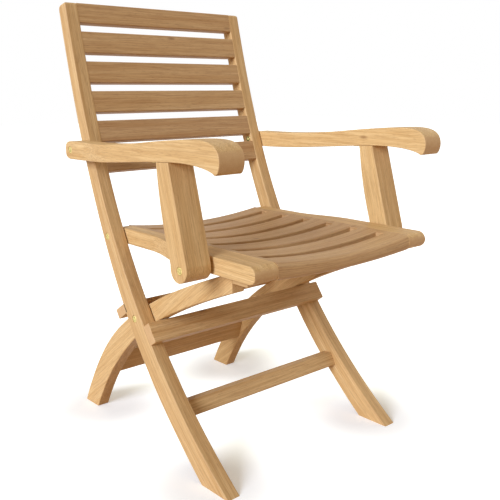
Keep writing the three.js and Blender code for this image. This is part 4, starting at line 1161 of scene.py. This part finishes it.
def hinge_cutters(side, lean, downward):
    """Cutters for one let-in leaf and for the barrel."""
    low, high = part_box("hinge_pin_left" if side < 0 else "hinge_pin_right")
    place = hinge_place()
    up = Vector((math.sin(lean), math.cos(lean)))
    back = Vector((math.cos(lean), -math.sin(lean)))
    middle = place + back * (LEAF_WIDTH / 2) + up * (downward * (KNUCKLE_RADIUS - LEAF_THICKNESS / 2))
    play = FIT * 2
    plate = slab(low.x, high.x, middle, lean, LEAF_WIDTH + play, LEAF_THICKNESS + play)
    barrel_radius = KNUCKLE_RADIUS + KNUCKLE_GAP
    reach = high.x - low.x + play
    barrel = turned(
        [(0, 0), (0, barrel_radius), (reach, barrel_radius), (reach, 0)],
        Vector((low.x - FIT, place.x, place.y)), 1)
    return [plate, barrel]


class ARMCHAIR_OT_arms(bpy.types.Operator):
    """Bowed arms with a crisp arris, widened in front of the stiles, with a turned-down nose"""

    bl_idname = "armchair.arms"
    bl_label = "Arms"

    def execute(self, context):
        sizes = context.scene.armchair_sizes
        place = hinge_place()
        lean = math.atan2(arm_under_at(place.x) - arm_under_at(place.x + LEAF_WIDTH), LEAF_WIDTH)
        for name, side in SIDES.items():
            low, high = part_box("arm_" + name)
            outer, inner = (high.x, low.x) if side > 0 else (low.x, high.x)
            rear_outer = inner + side * ARM_REAR_WIDTH
            bm = mirrored(self.shape(sizes, abs(inner), abs(outer)), side)
            bores = [head_bore(PIVOTS["arm_right_fold"], rear_outer, side)] + hinge_cutters(side, lean, 1)
            seed = PLANKS["arm"] + side
            teak_board("arm_" + name, bm, Vector((0, 1, 0)), Vector((0, 0, 1)), bores, seed)
        return {"FINISHED"}

    def shape(self, sizes, inner, outer):
        top, under = arm_edge(ARM_TOP_SHARES), arm_edge(ARM_UNDER_SHARES)
        pivot = PIVOTS["arm_right_fold"]
        rear_outer = inner + ARM_REAR_WIDTH
        steps = (len(top) - 1) * ARC_STEPS * 2
        rings = []
        for i in range(steps + 1):
            low, high = spline(under, i / steps), spline(top, i / steps)
            ahead = pivot.y - (low.x + high.x) / 2
            side = rear_outer + (outer - rear_outer) * soft_step(*ARM_FLARE, ahead)
            rings.append(section(low, high, inner, side, sizes.arm_arris))
        return loft(rings)


class ARMCHAIR_OT_posts(bpy.types.Operator):
    """Posts with a rounded foot, a straight front edge and a swelling rear edge"""

    bl_idname = "armchair.posts"
    bl_label = "Posts"

    def execute(self, context):
        sizes = context.scene.armchair_sizes
        edges = self.edges()
        head, foot = edges["rear_head"], edges["rear_foot"]
        lean = math.atan2(head.y - foot.y, foot.x - head.x + math.pi * POST_BOW)
        for name, side in SIDES.items():
            low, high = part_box("post_" + name)
            outer, inner = (high.x, low.x) if side > 0 else (low.x, high.x)
            bm = mirrored(self.shape(sizes, edges, abs(inner), abs(outer)), side)
            bores = [head_bore(PIVOTS["post_right_fold"], outer, side)] + hinge_cutters(side, lean, -1)
            front = edges["front_head"] - edges["front_foot"]
            plank = Vector((0, front.x, front.y))
            teak_board("post_" + name, bm, plank, Vector((1, 0, 0)), bores, PLANKS["post"] + side)
        return {"FINISHED"}

    def edges(self):
        pin = hinge_place()
        pivot = PIVOTS["post_right_fold"]
        rear = pin.x - KNUCKLE_RADIUS - HINGE_INSET
        front = rear - POST_HEAD_DEPTH
        foot = Vector((pivot.y + POST_FOOT_BEHIND, pivot.z + POST_FOOT_ABOVE))
        shoulder = foot.y + POST_FOOT_ROUND * POST_SHOULDER_SHARE
        return {
            "front_head": Vector((front, arm_under_at(front) - SHOULDER_GAP)),
            "rear_head": Vector((rear, arm_under_at(rear) - SHOULDER_GAP)),
            "front_foot": Vector((foot.x - POST_FOOT_ROUND, shoulder)),
            "rear_foot": Vector((foot.x + POST_FOOT_ROUND, shoulder)),
            "foot": foot,
        }

    def shape(self, sizes, edges, inner, outer):
        foot = edges["foot"]
        rings = []
        for distance, half in half_round(POST_FOOT_ROUND):
            level = foot.y - POST_FOOT_ROUND + distance
            rings.append(section(
                Vector((foot.x - half, level)), Vector((foot.x + half, level)),
                inner, outer, sizes.post_arris))
        for i in range(MEMBER_STEPS + 1):
            t = i / MEMBER_STEPS
            front = edges["front_foot"].lerp(edges["front_head"], t)
            rear = edges["rear_foot"].lerp(edges["rear_head"], t)
            rear.x += POST_BOW * math.sin(math.pi * t)
            rings.append(section(front, rear, inner, outer, sizes.post_arris))
        return loft(rings)


# Fittings

BOLT_INPUTS = {
    "Places": "NodeSocketGeometry", "Head": "NodeSocketObject", "Sides": "NodeSocketInt",
    "Material": "NodeSocketMaterial",
}


def bolts_tree():
    """A socket head and a shank on each point, turned and stretched as the point says."""
    tree, given = new_tree("pivot_bolts", BOLT_INPUTS)
    places = add(tree, "GeometryNodeMeshToPoints", {"Mesh": given["Places"]}).outputs[0]
    turn = add(tree, "GeometryNodeInputNamedAttribute", {
        "Name": "turn",
    }, data_type="FLOAT_VECTOR").outputs[0]
    size = add(tree, "GeometryNodeInputNamedAttribute", {
        "Name": "shank",
    }, data_type="FLOAT_VECTOR").outputs[0]
    rotation = add(tree, "FunctionNodeEulerToRotation", {0: turn}).outputs[0]
    head = add(tree, "GeometryNodeObjectInfo", {"Object": given["Head"]}).outputs["Geometry"]
    heads = add(tree, "GeometryNodeInstanceOnPoints", {
        "Points": places, "Instance": head, "Rotation": rotation,
    }).outputs[0]
    rod = add(tree, "GeometryNodeMeshCylinder", {
        "Vertices": given["Sides"], "Radius": 1, "Depth": 1,
    }).outputs[0]
    lying = add(tree, "GeometryNodeTransform", {
        "Geometry": rod, "Rotation": (0, math.pi / 2, 0), "Translation": (-0.5, 0, 0),
    }).outputs[0]
    shanks = add(tree, "GeometryNodeInstanceOnPoints", {
        "Points": places, "Instance": lying, "Rotation": rotation, "Scale": size,
    }).outputs[0]
    both = add(tree, "GeometryNodeJoinGeometry", {0: heads})
    tree.links.new(shanks, both.inputs[0])
    close_tree(tree, both.outputs[0], given["Material"])
    return tree


class ARMCHAIR_OT_bolts(bpy.types.Operator):
    """Brass pivot bolts and cap nuts with hexagon sockets, one node tree for all"""

    bl_idname = "armchair.bolts"
    bl_label = "Bolts and cap nuts"

    def execute(self, context):
        tree = bolts_tree()
        head = new_object("socket_head", self.head())
        by_body = {}
        for kind in ("arm_bolt", "arm_nut", "leg_bolt", "seat_bolt", "post_bolt"):
            for name in SIDES:
                node = f"{kind}_{name}"
                by_body.setdefault(BODY_OF[node], []).append(node)
        for body, nodes in by_body.items():
            obj = grow("bolts_" + body, tree, {
                "Head": head, "Sides": TURN_STEPS, "Material": finish_of("brass"),
            }, self.places(nodes))
            smooth(obj)
            install(obj, "brass", *nodes)
        bpy.data.objects.remove(head)
        return {"FINISHED"}

    def head(self):
        """Turned head with its face at x = 0, rounded at the rim, with a hexagon socket."""
        rim = [
            (-RIM_ROUND * (1 - math.sin(angle)), HEAD_RADIUS - RIM_ROUND * (1 - math.cos(angle)))
            for angle in (math.radians(90 - 90 * i / ARC_STEPS) for i in range(ARC_STEPS + 1))]
        half = SOCKET_WIDTH / 2
        profile = [(-SOCKET_DEPTH - half * 0.3, 0), (-SOCKET_DEPTH, half * 0.9), (-SOCKET_DEPTH, half, 6)]
        profile += [(-SOCKET_MOUTH, half, 6), (0, half + SOCKET_MOUTH, 6)]
        profile += rim + [(-HEAD_THICKNESS, HEAD_RADIUS), (-HEAD_THICKNESS, 0)]
        return turned(profile, Vector((0, 0, 0)), 1)

    def places(self, nodes):
        """One point for each bolt at the middle of its head's face."""
        mesh = bpy.data.meshes.new("bolt_places")
        turns, shanks, points = [], [], []
        for node in nodes:
            low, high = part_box(node)
            middle = (low + high) / 2
            is_nut = "_nut_" in node
            outward = (1 if middle.x > 0 else -1) * (-1 if is_nut else 1)
            points.append((high.x if outward > 0 else low.x, middle.y, middle.z))
            turns.extend((0, 0, 0 if outward > 0 else math.pi))
            radius = SLEEVE_RADIUS if is_nut else SHANK_RADIUS
            shanks.extend((high.x - low.x, radius, radius))
        mesh.from_pydata(points, [], [])
        mesh.attributes.new("turn", "FLOAT_VECTOR", "POINT").data.foreach_set("vector", turns)
        mesh.attributes.new("shank", "FLOAT_VECTOR", "POINT").data.foreach_set("vector", shanks)
        return mesh


class ARMCHAIR_OT_fittings(bpy.types.Operator):
    """Brass on the washers, spacers, inserts and hinges of the frame"""

    bl_idname = "armchair.fittings"
    bl_label = "Washers and hinges"

    def execute(self, context):
        for node, obj in frame["nodes"].items():
            if node.split("_")[1] in ("washer", "insert", "spacer") or node.startswith("hinge_"):
                obj.data.materials.clear()
                obj.data.materials.append(finish_of("brass"))
        return {"FINISHED"}


# Stage

CAMERA_PLACE = (-1.0158, TOE - 0.95334, 0.7367)
CAMERA_TILT = math.radians(90 - 10.166)
CAMERA_TURN = math.radians(-41.42)
CAMERA_LENS = 53.22
SENSOR_WIDTH = 36
CAMERA_SHIFT = -0.0636
FLOOR_REACH = 12
# Width, energy, colour, place and aim of the soft lamps, in metres and watts.
SOFT_LAMPS = {
    "softbox": (2.4, 9, (1, 1, 1), (-0.4, 0.9, 2.4), (0, 0, 0.5)),
    "fill": (2.2, 22, (1, 0.95, 0.84), (2.9, -0.1, 1.4), (0, 0, 0.4)),
}


class ARMCHAIR_OT_stage(bpy.types.Operator):
    """Pale floor, a broad key light on the chair's left, two soft lamps, a white world and the camera"""

    bl_idname = "armchair.stage"
    bl_label = "Stage"

    def execute(self, context):
        scene = context.scene
        floor = new_object("floor", self.floor_mesh())
        floor.data.materials.append(studio_floor(scene.armchair_colours))
        self.world(scene)
        key = bpy.data.lights.new("key", "SUN")
        key.angle = math.radians(28)
        key.energy = 3.3
        key.color = (0.91, 1, 1.2)
        self.hang(key, (-0.9, -0.22, 0.36), (0, 0, 0))
        for name, (width, energy, tint, place, aim) in SOFT_LAMPS.items():
            lamp = bpy.data.lights.new(name, "AREA")
            lamp.size = width
            lamp.energy = energy
            lamp.color = tint
            self.hang(lamp, place, aim)
        camera = bpy.data.objects.new("camera", bpy.data.cameras.new("camera"))
        camera.location = CAMERA_PLACE
        camera.rotation_euler = Euler((CAMERA_TILT, 0, CAMERA_TURN))
        camera.data.lens = CAMERA_LENS
        camera.data.sensor_width = SENSOR_WIDTH
        camera.data.shift_y = CAMERA_SHIFT
        scene.collection.objects.link(camera)
        scene.camera = camera
        scene.view_settings.view_transform = "Standard"
        return {"FINISHED"}

    def floor_mesh(self):
        bm = bmesh.new()
        bmesh.ops.create_grid(bm, x_segments=1, y_segments=1, size=FLOOR_REACH)
        return bm

    def hang(self, light, place, aim):
        obj = bpy.data.objects.new(light.name, light)
        obj.location = place
        obj.rotation_euler = (Vector(aim) - Vector(place)).to_track_quat("-Z", "Y").to_euler()
        bpy.context.scene.collection.objects.link(obj)

    def world(self, scene):
        world = bpy.data.worlds.new("studio")
        world.use_nodes = True
        tree = world.node_tree
        tree.nodes.clear()
        room = add(tree, "ShaderNodeBackground", {"Color": (1, 0.8, 0.56, 1), "Strength": 0.3}).outputs[0]
        backdrop = add(tree, "ShaderNodeBackground", {"Color": (1, 1, 1, 1), "Strength": 1}).outputs[0]
        both = add(tree, "ShaderNodeMixShader", {0: seen_rays(tree), 1: room, 2: backdrop}).outputs[0]
        add(tree, "ShaderNodeOutputWorld", {"Surface": both})
        scene.world = world


OPERATORS = (
    ARMCHAIR_OT_stiles, ARMCHAIR_OT_cross_boards, ARMCHAIR_OT_rear_legs, ARMCHAIR_OT_seat_rails,
    ARMCHAIR_OT_seat_slats, ARMCHAIR_OT_arms, ARMCHAIR_OT_posts, ARMCHAIR_OT_bolts,
    ARMCHAIR_OT_fittings, ARMCHAIR_OT_stage,
)


class ARMCHAIR_PT_panel(bpy.types.Panel):
    """Sizes, colours and pieces of the armchair"""

    bl_idname = "ARMCHAIR_PT_panel"
    bl_label = "Folding teak armchair"
    bl_space_type = "VIEW_3D"
    bl_region_type = "UI"
    bl_category = "Armchair"

    def draw(self, context):
        for settings in (context.scene.armchair_sizes, context.scene.armchair_colours):
            column = self.layout.box().column()
            for name in settings.bl_rna.properties.keys():
                if name not in ("rna_type", "name"):
                    column.prop(settings, name)
        column = self.layout.column()
        for operator in OPERATORS:
            column.operator(operator.bl_idname)


CLASSES = (ArmchairSizes, ArmchairColours) + OPERATORS + (ARMCHAIR_PT_panel,)


def register():
    for cls in CLASSES:
        bpy.utils.register_class(cls)
    bpy.types.Scene.armchair_sizes = bpy.props.PointerProperty(type=ArmchairSizes)
    bpy.types.Scene.armchair_colours = bpy.props.PointerProperty(type=ArmchairColours)


def unregister():
    del bpy.types.Scene.armchair_colours
    del bpy.types.Scene.armchair_sizes
    for cls in reversed(CLASSES):
        bpy.utils.unregister_class(cls)


def main():
    register()
    for operator in OPERATORS:
        group, name = operator.bl_idname.split(".")
        getattr(getattr(bpy.ops, group), name)()


if __name__ == "__main__":
    main()
